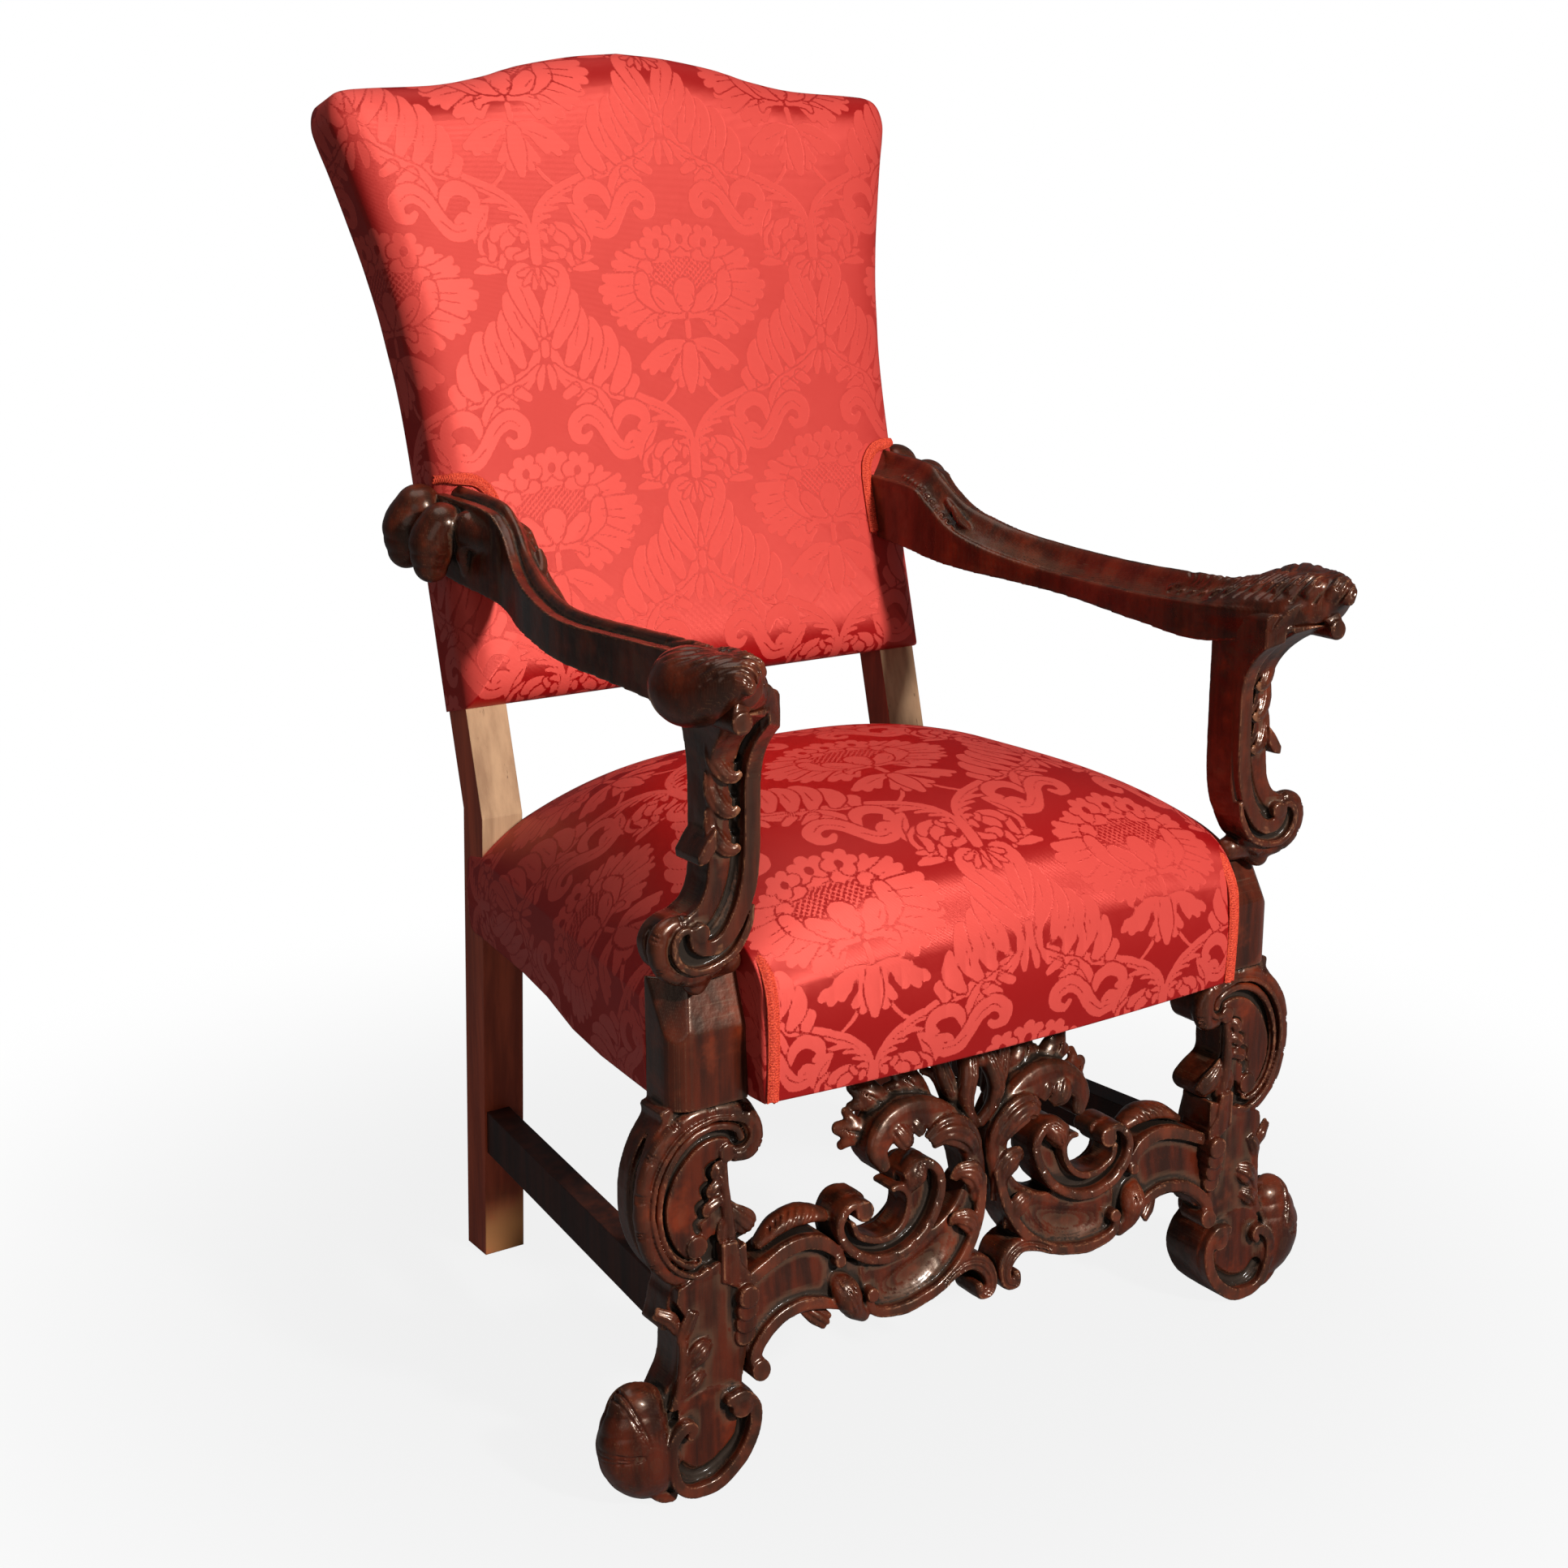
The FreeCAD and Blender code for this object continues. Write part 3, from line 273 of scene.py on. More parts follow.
        # Points and four-sided faces on the surface, with how exposed each point is, which the wood pales for
        # wear and as a painted highlight, and how deep it lies
        inside = self.field < 0
        corners = np.array([(i, j, k) for i in (0, 1) for j in (0, 1) for k in (0, 1)])
        size = np.array(inside.shape) - 1
        held = sum(
            inside[i:i + size[0], j:j + size[1], k:k + size[2]].astype(np.uint8) for i, j, k in corners)
        base = np.argwhere((held > 0) & (held < 8))
        index = np.full(size, -1, np.int64)
        index[tuple(base.T)] = np.arange(len(base))
        values = [self.field[tuple((base + corner).T)] for corner in corners]
        total = np.zeros((len(base), 3))
        hits = np.zeros((len(base), 1))
        for a in range(8):
            for b in range(a + 1, 8):
                if np.abs(corners[a] - corners[b]).sum() != 1:
                    continue
                crossed = (values[a] < 0) != (values[b] < 0)
                share = values[a] / np.where(crossed, values[a] - values[b], 1)
                total += crossed[:, None] * (corners[a] + share[:, None] * (corners[b] - corners[a]))
                hits += crossed[:, None]
        points = self.low + self.step * (base + total / hits)
        faces = []
        for axis in range(3):
            u, v = (axis + 1) % 3, (axis + 2) % 3
            near = np.moveaxis(inside, axis, 0)
            near = np.moveaxis(near[:-1] != near[1:], 0, axis)
            at = np.argwhere(near)
            at = at[(at[:, u] > 0) & (at[:, v] > 0) & (at[:, u] < size[u]) & (at[:, v] < size[v])]
            unitU, unitV = np.eye(3, dtype=int)[u], np.eye(3, dtype=int)[v]
            ring = [at, at - unitU, at - unitU - unitV, at - unitV]
            quad = np.stack([index[tuple(cell.T)] for cell in ring], 1)
            solid = inside[tuple(at.T)]
            faces.append(np.where(solid[:, None], quad[:, ::-1], quad))
        cells = tuple(np.clip(np.rint((points - self.low) / self.step).astype(int), 0, self.count - 1).T)
        worn = 0.5 - self.blurred(max(1, round(wornReach / self.step)))[cells]
        deep = self.blurred(max(2, round(deepReach / self.step)))[cells] - 0.5
        return points, np.vstack(faces)[:, ::-1], {"worn": worn, "deep": deep}


def makePiece(name, points, faces, material, attributes, nodes):
    # Points are already in the frame, in metres
    mesh = bpy.data.meshes.new(name)
    mesh.from_pydata(np.asarray(points).tolist(), [], faces if isinstance(faces, list) else faces.tolist())
    for label, values in attributes.items():
        values = np.asarray(values, np.float32)
        kind = "FLOAT" if values.ndim == 1 else "FLOAT_VECTOR"
        layer = mesh.attributes.new(label, kind, "POINT")
        layer.data.foreach_set("value" if values.ndim == 1 else "vector", values.ravel())
    mesh.shade_smooth()
    mesh.materials.append(material)
    piece = bpy.data.objects.new(name, mesh)
    bpy.context.scene.collection.objects.link(piece)
    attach(piece, "root")
    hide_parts(*nodes)
    return piece


def bothSides(name, carved, material, node):
    # The right-hand piece and its mirror image
    points, faces, attributes = carved
    sides = (("_right", points, faces), ("_left", points * (-1, 1, 1), faces[:, ::-1]))
    for side, places, loops in sides:
        makePiece(name + side, placed(places), loops, material, attributes, [node + side])


class Value:
    # A socket that takes part in plain arithmetic
    def __init__(self, shader, socket):
        self.shader = shader
        self.socket = socket

    def maths(self, operation, *others):
        return self.shader.node("ShaderNodeMath", {"operation": operation}, dict(enumerate((self, *others))))

    def __add__(self, other):
        return self.maths("ADD", other)

    def __sub__(self, other):
        return self.maths("SUBTRACT", other)

    def __rsub__(self, other):
        return self.maths("MULTIPLY", -1.0).maths("ADD", other)

    def __mul__(self, other):
        return self.maths("MULTIPLY", other)

    __radd__ = __add__
    __rmul__ = __mul__

    def clamped(self):
        return self.shader.node("ShaderNodeClamp", {}, {"Value": self})

    def between(self, low, high):
        # 0 at low and 1 at high, smoothly
        settings = {"interpolation_type": "SMOOTHSTEP"}
        return self.shader.node(
            "ShaderNodeMapRange", settings, {"Value": self, "From Min": low, "From Max": high})


class Shader:
    # The nodes of a material, or of the world, round its first surface
    def __init__(self, name, world=False, **constants):
        self.material = (bpy.data.worlds if world else bpy.data.materials).new(name)
        self.material.use_nodes = True
        self.tree = self.material.node_tree
        self.surface = self.tree.nodes["Background" if world else "Principled BSDF"]
        self.output = self.tree.nodes["World Output" if world else "Material Output"]
        for label, value in constants.items():
            self.surface.inputs[label.replace("_", " ")].default_value = value

    def node(self, kind, settings, sockets, output=0):
        node = self.tree.nodes.new(kind)
        for label, value in settings.items():
            setattr(node, label, value)
        for label, value in sockets.items():
            if isinstance(value, Value):
                self.tree.links.new(value.socket, node.inputs[label])
            else:
                node.inputs[label].default_value = value
        return Value(self, node.outputs[output])

    def part(self, vector, axis):
        return self.node("ShaderNodeSeparateXYZ", {}, {"Vector": vector}, axis)

    def attribute(self, label, output="Fac"):
        return self.node("ShaderNodeAttribute", {"attribute_name": label}, {}, output)

    def noise(self, scale, detail=4.0, roughness=0.55, stretch=(1, 1, 1)):
        where = self.node("ShaderNodeTexCoord", {}, {}, "Object")
        where = self.node("ShaderNodeMapping", {}, {"Vector": where, "Scale": stretch})
        return self.node(
            "ShaderNodeTexNoise", {},
            {"Vector": where, "Scale": scale, "Detail": detail, "Roughness": roughness})

    def blend(self, share, first, second):
        # Two colours; a Mix node's colour sockets are its seventh, its eighth and its third output
        return self.node("ShaderNodeMix", {"data_type": "RGBA"}, {0: share, 6: first, 7: second}, 2)

    def bump(self, height, strength, distance, **more):
        sockets = {"Height": height, "Strength": strength, "Distance": distance, **more}
        return self.node("ShaderNodeBump", {}, sockets, "Normal")

    def over(self, share, surface):
        # A second surface that takes the place of the first by a share
        first = Value(self, self.surface.outputs[0])
        mixed = self.node("ShaderNodeMixShader", {}, {0: share, 1: first, 2: surface})
        self.tree.links.new(mixed.socket, self.output.inputs["Surface"])

    def inView(self):
        # Where the white background stands: before the camera and through glass, and a little in reflections
        rays = (f"Is {kind} Ray" for kind in ("Camera", "Transmission", "Glossy"))
        camera, through, glossy = (self.node("ShaderNodeLightPath", {}, {}, ray) for ray in rays)
        return (camera + through + glossy * stagePiece["mirrored"]).clamped()

    def feed(self, **links):
        for label, value in links.items():
            self.tree.links.new(value.socket, self.surface.inputs[label.replace("_", " ")])
        return self.material


def tone(red, green, blue):
    # A colour as seen on a screen, 0 to 255, for a socket
    parts = [c / 255 for c in (red, green, blue)]
    return tuple(c / 12.92 if c <= 0.04045 else ((c + 0.055) / 1.055) ** 2.4 for c in parts) + (1.0,)


walnutPiece = {
    "grain": (tone(38, 12, 6), tone(82, 27, 11)),
    "cloud": tone(122, 42, 15),
    "dull": tone(80, 57, 42),
    "dust": tone(98, 72, 53),
    # painted shade: near black for the deepest hollows
    "hollow": tone(10, 6, 4),
    # partly real wear, partly a painted highlight: pale on exposed edges
    "worn": tone(158, 104, 72),
    "sheen": tone(255, 222, 196),
}


def carvedWood():
    # Dark walnut, dusty part-way into its hollows with painted shade in the deepest of them, and rubbed pale
    # on its edges, partly as a painted highlight
    shader = Shader("carved_walnut", Coat_Weight=0.2, Coat_Roughness=0.14, Specular_IOR_Level=0.42,
                    Specular_Tint=walnutPiece["sheen"])
    grain = shader.noise(60.0, 6.0, 0.6, (1, 1, 0.09))
    cloud = shader.noise(22.0, 4.0, 0.6)
    fleck = shader.noise(190.0, 4.0, 0.7)
    edge, hollow = shader.attribute("worn"), shader.attribute("deep")
    # Exposed edges: rubbed pale by wear, and lightened further as a painted highlight
    worn = (edge + fleck * 0.2 - 0.1).between(0.13, 0.27)
    # How deep in a hollow: dust part-way in, painted shade in the deepest
    deep = (hollow + cloud * 0.12 - 0.06).between(0.0, 0.15)
    carved = (edge.maths("ABSOLUTE") + hollow.maths("ABSOLUTE")).between(0.05, 0.2)
    colour = shader.blend(grain.between(0.35, 0.68), *walnutPiece["grain"])
    colour = shader.blend(cloud.between(0.48, 0.72) * 0.7, colour, walnutPiece["cloud"])
    colour = shader.blend(carved * cloud * 0.4, colour, walnutPiece["dull"])
    colour = shader.blend(deep * (1 - deep) * 1.5, colour, walnutPiece["dust"])
    # Painted shade: the deepest hollows go near black
    colour = shader.blend(deep * deep * 0.97, colour, walnutPiece["hollow"])
    # Rubbed pale edges, partly a painted highlight
    colour = shader.blend(worn * 0.5, colour, walnutPiece["worn"])
    rough = 0.2 + cloud * 0.2 + deep * 0.4
    height = grain * 0.4 + fleck * 0.3 + shader.noise(120.0, 2.0) * 1.2
    return shader.feed(Base_Color=colour, Roughness=rough, Normal=shader.bump(height, 0.4, 0.0006))


def sawnWood(name):
    # A shader with the grain and the clouding of a plain piece
    shader = Shader(name, Specular_IOR_Level=0.35)
    return shader, shader.noise(55.0, 6.0, 0.6, (1, 1, 0.08)), shader.noise(18.0, 4.0, 0.6)


def planed(shader, grain, colour, rough):
    # Plain faces with their edges taken off
    rounded = shader.node("ShaderNodeBevel", {"samples": 4}, {"Radius": 0.002})
    normal = shader.bump(grain, 0.2, 0.0006, Normal=rounded)
    return shader.feed(Base_Color=colour, Roughness=rough, Normal=normal)


def plainWood(name, dark, light, rough=0.5):
    shader, grain, cloud = sawnWood(name)
    colour = shader.blend(grain.between(0.35, 0.68), dark, light)
    colour = shader.blend(cloud.between(0.5, 0.8) * 0.5, colour, dark)
    return planed(shader, grain, colour, rough + cloud * 0.15)


postPiece = {
    # painted bounce light: the polished tones are lighter than the walnut's own
    "grain": (tone(154, 64, 41), tone(200, 89, 58)),
    "bareGrain": (tone(150, 114, 84), tone(186, 148, 112)),
    "crack": tone(84, 58, 40),
    "scuff": tone(170, 112, 66),
}


def postWood():
    # Polished walnut, its polished tones lightened as painted bounce light, bare and dusty on the front face
    # between the seat and the back, scuffed at the foot
    shader, grain, cloud = sawnWood("post_walnut")
    crack = shader.noise(140.0, 3.0, 0.6, (1, 1, 0.05)).between(0.66, 0.72)
    facing = shader.part(shader.node("ShaderNodeNewGeometry", {}, {}, "Normal"), 1) * -1.0
    height = shader.part(shader.node("ShaderNodeTexCoord", {}, {}, "Object"), 2) + cloud * 0.012
    bare = facing.between(0.5, 0.8) * height.between(0.42, 0.44) * (1 - height.between(0.6, 0.62))
    scuffed = facing.between(0.4, 0.8) * (1 - height.between(0.03, 0.09)) * cloud.between(0.35, 0.6)
    # Painted bounce light: the lighter polished tones stand in for light thrown onto the posts' shaded sides
    colour = shader.blend(grain.between(0.35, 0.68), *postPiece["grain"])
    colour = shader.blend(scuffed, colour, postPiece["scuff"])
    dusty = shader.blend(grain.between(0.3, 0.7), *postPiece["bareGrain"])
    dusty = shader.blend(crack * 0.7, dusty, postPiece["crack"])
    return planed(shader, grain, shader.blend(bare, colour, dusty), 0.42 + cloud * 0.15 + bare * 0.3)


clothPiece = {
    "ground": {"Base Color": tone(148, 5, 11), "Roughness": 0.42, "Anisotropic": 0.85, "IOR": 2.08},
    "motif": {"Base Color": tone(200, 68, 60), "Roughness": 0.46, "Anisotropic": 0.7,
              "Anisotropic Rotation": 0.25, "IOR": 1.75},
    "sheen": {"Specular IOR Level": 0.95, "Specular Tint": tone(255, 118, 104)},
    "weft": 0.9,
    "warp": 0.8,
    "axis": (0.0, 5.0, 0.0),
}


def damaskCloth():
    # The cloth attribute holds the place on the flat cloth and the signed distance into the motif.
    # The threads of ground and motif cross each other, so that the two catch the light in turn
    shader = Shader("red_damask", **clothPiece["sheen"], **clothPiece["ground"])
    cloth = shader.attribute("cloth", "Vector")
    across, along, inside = (shader.part(cloth, i) for i in range(3))
    jag = shader.node("ShaderNodeTexWhiteNoise", {"noise_dimensions": "2D"}, {
        "Vector": shader.node("ShaderNodeVectorMath", {"operation": "FLOOR"}, {0: cloth})}, "Value")
    motif = (inside + jag * 0.8 - 0.4).between(-0.35, 0.35)
    weft = (along * (2 * math.pi / clothPiece["weft"])).maths("SINE")
    warp = (across * (2 * math.pi / clothPiece["warp"])).maths("SINE")
    normal = shader.bump(weft * 0.25 + warp * 0.12 * motif + motif * 0.8, 0.35, 0.0004)
    threads = {**clothPiece["sheen"], **clothPiece["motif"], "Normal": normal}
    shader.over(motif, shader.node("ShaderNodeBsdfPrincipled", {}, threads))
    return shader.feed(Normal=normal)


def threadsLevel(piece):
    # Satin threads take their direction from an axis far behind the chair, so they lie level everywhere
    piece.data.use_auto_texspace = False
    piece.data.texspace_location = clothPiece["axis"]
    piece.data.texspace_size = (1.0, 1.0, 1.0)


def plainCloth(name, dark, light, scale, rough=0.85):
    shader = Shader(name, Specular_IOR_Level=0.2)
    weave = shader.noise(scale, 3.0, 0.6)
    colour = shader.blend(weave.between(0.35, 0.65), dark, light)
    return shader.feed(
        Base_Color=colour, Roughness=rough + weave * 0.1, Normal=shader.bump(weave, 0.5, 0.0008))


def metal(name, colour, rough):
    shader = Shader(name, Metallic=1.0)
    wear = shader.noise(90.0, 4.0)
    colour = shader.blend(wear.between(0.4, 0.7), colour, tone(40, 38, 38))
    return shader.feed(Base_Color=colour, Roughness=rough + wear * 0.2)


walnut = carvedWood()
damask = damaskCloth()
print("materials")

# Front leg with its block and scroll foot, right side
legPiece = {
    "step": 1.3,
    "room": ((228, -22, -6), (400, 52, 446)),
    "blockRoom": ((228, -22, 330), (400, 52, 446)),
    "toolMarks": [(9.0, 0.16), (3.5, 0.07)],
    # The block's width, depth and height, and the round of its outer corner
    "block": ((254, 322), (0, 44), (336, 440)),
    "corner": 20.0,
    "body": [(256, 338), (248, 330), (240, 318), (237, 304), (241, 291), (251, 284), (270, 281),
             (272, 264), (271, 248), (256, 238), (246, 229), (245, 221), (251, 213), (260, 209),
             (257, 196), (254, 180), (254, 128), (258, 112), (262, 96), (264, 86), (300, 80), (330, 84),
             (328, 94), (320, 108), (317, 122), (317, 140), (323, 148), (331, 150), (328, 160), (325, 174),
             (322, 186), (334, 202), (344, 220), (350, 242), (351, 265), (348, 288), (340, 308),
             (328, 326), (322, 338)],
    "torus": [(262, 286, 6), (250, 288, 8), (245, 299, 9), (250, 315, 9), (264, 325, 8), (284, 329, 7),
              (308, 326, 7), (329, 311, 7), (343, 290, 7), (348, 266, 7), (347, 243, 7), (340, 218, 7),
              (326, 199, 6.5), (306, 187, 6), (292, 187, 5)],
    "fillet": [(266, 293), (256, 294), (250, 302), (254, 314), (267, 321), (286, 324), (307, 319),
               (325, 305), (337, 286), (342, 264), (341, 243), (333, 219), (320, 202), (303, 193),
               (293, 196)],
    "band": [(259, 302), (263, 310), (274, 315), (291, 316), (309, 309), (323, 294), (332, 274), (335, 252),
             (331, 230), (322, 214), (309, 203), (300, 205)],
    "panel": [(274, 284), (268, 292), (269, 302), (279, 306), (294, 304), (309, 294), (321, 279),
              (328, 258), (327, 238), (319, 219), (306, 207), (294, 209), (290, 222), (276, 226),
              (276, 262)],
    "foot": [(262, 86), (252, 76), (246, 60), (250, 40), (263, 20), (284, 4), (304, 1), (318, 3),
             (333, 14), (339, 39), (337, 57), (330, 66), (322, 80), (300, 92)],
    "rim": [(277, 78, 5), (264, 78, 6), (254, 64, 6), (256, 43, 6), (268, 23, 6), (287, 9, 6), (304, 6, 6),
            (319, 9, 5), (329, 20, 5), (334, 39, 5), (333, 54, 5), (327, 63, 5), (318, 68, 5), (313, 64, 4),
            (316, 58, 3.5)],
    "second": [(330, 5, 5), (341, 9, 5), (349, 20, 5), (351, 38, 5), (348, 53, 5), (341, 63, 5),
               (333, 65, 4)],
    "ball": [(352, 20, 79, 26), (353, 18, 54, 34), (346, 17, 38, 33), (336, 16, 30, 26)],
    "shankLeaves": [[(320, 5, 148, 4), (326, 3, 160, 6), (337, 8, 167, 5)],
                    [(318, 2, 140, 4), (314, -1, 152, 6), (308, -1, 163, 5)],
                    [(319, 2, 106, 4), (312, -1, 118, 7), (303, -4, 128, 9), (294, 0, 133, 6)],
                    [(322, 3, 86, 3), (316, 0, 95, 6), (308, -3, 103, 7), (300, 0, 108, 5)]],
}


def carveLeg():
    shape = legPiece
    carving = Carving(*shape["room"], shape["step"])
    carving.slab(closed(shape["body"]), 10, 44, 2.0)
    # The C-scroll: a ticked roll outside, a fillet, a rounded band and a flat panel, with grooves between
    carving.cord(shape["torus"], 9)
    carving.cord([(x + 3, z) for x, z, r in smoothLine(shape["torus"], 6.0)[16:]], 22, 4.0, 1.5, True)
    carving.ribbon([(x, z, 2.2) for x, z in shape["fillet"]], 0, 20, 1.0, 0.6)
    carving.cord([(x, z, 3.6) for x, z in shape["band"]], 5, None, 0.8)
    pairs = zip(shape["band"][1:-1], shape["panel"][2:-3])
    between = [(0.5 * (a[0] + b[0]), 0.5 * (a[1] + b[1])) for a, b in pairs]
    carving.slab(closed(shape["panel"]), 4, 30, 1.2)
    carving.cord(between, 4, 2.2, 0.8, True)
    carving.ticks(shape["torus"], 9, (8, 10, 13), (-1, 0, 1), 0.8)
    carving.disc(272, 292, 8, 1.5)
    carving.disc(302, 218, 9.5, 1)
    # Leaflets curl from a stem over dark hollows, with the spur leaf below
    for x, z in ((284, 280), (289, 265), (294, 250), (296, 236)):
        carving.stroke([(x - 4, 5, z + 6, 2.5), (x + 5, 4, z + 1, 3.8), (x + 3, 5, z - 6, 3)], 0.6, True)
    carving.stroke([(274, 6, 286, 3), (275, 4, 264, 4), (274, 3, 244, 5), (271, 5, 222, 6),
                    (268, 8, 214, 5)], 1.0)
    for x, z in ((283, 279), (287, 264), (291, 249)):
        curl = [(275, 4, z + 3, 3), (281, 1, z + 4, 4.5), (x + 1, 0, z, 5), (x + 1, 2, z - 6, 3)]
        carving.leaf(curl, 3, 0.5)
    carving.leaf([(272, 4, 240, 3), (277, 1, 232, 4.5), (279, 1, 222, 4.5), (277, 3, 214, 2.5)], 3, 0.5)
    carving.leaf([(272, 6, 246, 4), (264, 3, 236, 8), (255, 3, 227, 10), (249, 7, 220, 8)], 4)
    # The bevelled joint
    carving.slab([(281, 216), (281, 182), (270, 176), (256, 166), (252, 172), (252, 182), (262, 194),
                  (266, 216)], -2, 36, 1.5)
    carving.cord([(276, 217), (276, 180)], -2.4, 1.2, 0.5, True)
    # The shank's flat face, coins and a stem of buds
    carving.slab([(256, 210), (320, 186), (322, 174), (314, 160), (315, 120), (326, 90), (330, 80), (262, 84),
                  (257, 112), (254, 140), (254, 180)], 1, 40, 1.0)
    for step, z in enumerate((130, 142, 154, 166)):
        carving.disc(259, z, 10, -2.0 - 2.2 * step)
    carving.stroke([(323, 4, 84, 3), (318, 3, 112, 4), (317, 3, 136, 4), (320, 6, 152, 4)], 1.5)
    for leaflet in shape["shankLeaves"]:
        carving.leaf(leaflet, 3)
    # The foot: a swelling at the outer side, a layer behind, and the plank with its curled rim
    carving.stroke(shape["ball"], 2.0, squash=0.8)
    groove = [(334, 98), (352, 100), (372, 90), (386, 70), (388, 50), (381, 26), (364, 8), (346, 2)]
    carving.cord(groove, 27, 4.0, 2.0, True)
    for turn in (1.25, 1.12, 0.12, 0.0, -0.12):
        ring = []
        for a in np.linspace(0.35, 1.7, 9):
            heading = (math.cos(turn) * math.sin(a), -math.cos(a), math.sin(turn) * math.sin(a))
            ring.append((*carving.surface((350, 18, 54), heading), 1.2))
        carving.stroke(ring, 0.5, True)
    carving.slab(closed(shape["foot"]), 0, 44, 1.5)
    carving.cord([(345, 30), (342, 44), (336, 56), (328, 64), (326, 76)], 4, 4.5, 1.0, True)
    carving.ribbon(shape["second"], -1, 40, 1.5, 0.8)
    carving.cord([(262, 57), (265, 42), (276, 30), (294, 20), (310, 20), (322, 30)], -1, 5.0, 1.5, True)
    carving.ribbon(shape["rim"], -9, 40, 1.5, 0.8)
    carving.disc(267, 70, 9.5, -10)
    carving.pare((300, 0, 0.3), (0, 0, -1), 0.6)
    carving.roughen(shape["toolMarks"])
    # The plain block, with a rounded outer corner and a sloped top front
    (inner, outer), (front, rear), heights = shape["block"]
    r, angles = shape["corner"], np.linspace(0, math.pi / 2, 8)
    corner = [(outer - r * (1 - math.sin(a)), r * (1 - math.cos(a))) for a in angles]
    block = Carving(*shape["blockRoom"], shape["step"])
    block.column([(inner, front)] + corner + [(outer, rear), (inner, rear)], *heights, 1.2)
    block.pare((300, 0, 399), (0, -41, 15), 0.8)
    block.pare((308, 0, 399), (34, -30, 18), 0.8)
    first = round((block.low[2] - carving.low[2]) / carving.step)
    shared = min(block.field.shape[2], carving.field.shape[2] - first)
    part = np.s_[:, :, first:first + shared]
    carving.field[part] = np.minimum(carving.field[part], block.field[:, :, :shared])
    return carving.mesh()


bothSides("front_leg", carveLeg(), walnut, "front_post")
print("front legs")

# Arm support, right side
supportPiece = {
    "step": 1.3,
    "room": ((238, -84, 432), (352, 50, 694)),
    "toolMarks": [(9.0, 0.14), (3.5, 0.06)],
    "face": -15.0,
    "sweep": 51.0,
    "sweepFrom": 590.0,
    "sweepTo": 662.0,
    "body": [(251, 664), (250, 600), (250, 536), (253, 508), (260, 488), (271, 470), (286, 456),
             (304, 449), (322, 451), (335, 460), (340, 476), (336, 488), (326, 496), (312, 500),
             (303, 506), (297, 516), (294, 530), (293, 545), (293, 580), (293, 606), (297, 640),
             (303, 664)],
    "band": [(258, 668, 8), (258, 600, 7.5), (259, 540, 7.5), (263, 514, 7.5), (271, 494, 7),
             (282, 479, 6.5), (296, 473, 6.5), (307, 478, 6.5), (310, 487, 6)],
    "hook": [(258, 640, 7.5, -36), (262, 662, 7.5, -48), (273, 677, 7.5, -58), (289, 680, 7.5, -66),
             (302, 672, 7, -72), (306, 662, 6, -74)],
    "groove": [(269, 658), (268, 621), (269, 577), (271, 540), (277, 514), (286, 497), (295, 487)],
    "ring": [(258, 500, 2), (262, 484, 3), (274, 466, 3), (294, 457, 3), (312, 457, 3), (324, 466, 3),
             (328, 479, 3), (323, 489, 3), (316, 491, 2.5)],
    "torus": [(310, 494, 6), (324, 494, 7), (334, 488, 8), (337, 476, 8.5), (333, 462, 8), (321, 453, 8),
              (304, 449, 7), (288, 453, 6), (276, 461, 5)],
}


def supportFace(height):
    # How far forward the support's face stands at a height
    shape = supportPiece
    share = (height - shape["sweepFrom"]) / (shape["sweepTo"] - shape["sweepFrom"])
    return shape["face"] - shape["sweep"] * np.clip(share, 0, 1.06) ** 2.6


def carveSupport():
    shape = supportPiece
    carving = Carving(*shape["room"], shape["step"])
    level = supportFace(carving.axes[2][None, :] + 0 * carving.axes[0][:, None])
    carving.slab(closed(shape["body"]), level + 6, 24, 2.0)
    # The volute's outer roll, ticked, with a groove behind it
    carving.cord(shape["torus"], -4)
    carving.cord([(x + 2, z) for x, z, r in shape["torus"][2:-2]], 9, 3.5, 1.5, True)
    carving.ticks(shape["torus"], -4, (3, 8, 9), (0, 1), 0.85)
    carving.stroke([(300, 4, 441, 10), (290, 10, 452, 14), (268, 8, 452, 11)], 4.0)
    carving.ribbon(shape["ring"], shape["face"] - 1, 20, 1.0, 0.6)
    band = [(x, z, h, supportFace(z) - 1.5) for x, z, h in smoothLine(shape["band"], 8.0)]
    carving.ribbon(band, 0, 24, 1.5, 0.6)
    carving.disc(305, 487, 7.5, shape["face"] - 2.5)
    groove = smoothLine(shape["groove"], 6.0)
    for depth, radius in ((1, 3.4), (6, 3.0)):
        carving.stroke([(x, supportFace(z) + depth, z, radius) for x, z in groove], 0.8, True)
    carving.cord([(287, 476), (297, 466), (310, 468), (318, 478), (317, 486)], -14, 2.0, 0.6, True)
    # A chain of three leaves down the outer part, and the leaf tip that hooks outward below them
    for z in (614, 586, 556):
        face = supportFace(z) + 6
        carving.stroke([(270, face + 3, z + 4, 4.5), (273, face + 3, z + 13, 3.5)], 0.8, True)
        carving.leaf([(291, face + 2, z + 24, 4), (289, face, z + 8, 7), (282, face - 3, z - 5, 6.5),
                      (274, face - 5, z - 9, 4.5), (269, face - 5, z - 6, 3)], 4, 0.4)
    carving.pare((268, -53, 0), (-0.51, -0.86, 0), 1.0)
    carving.slab([(289, 568), (298, 558), (306, 546), (305, 539), (297, 541), (289, 551)], -15, 22, 2.0, 1.0)
    # The front end curls outward under the arm's knuckle
    carving.ribbon(shape["hook"], 0, -38, 2.0, 1.0)
    carving.disc(304, 662, 9.0, -75.5, -40, 2.0)
    carving.roughen(shape["toolMarks"])
    return carving.mesh()


bothSides("arm_support", carveSupport(), walnut, "front_post")
print("arm supports")

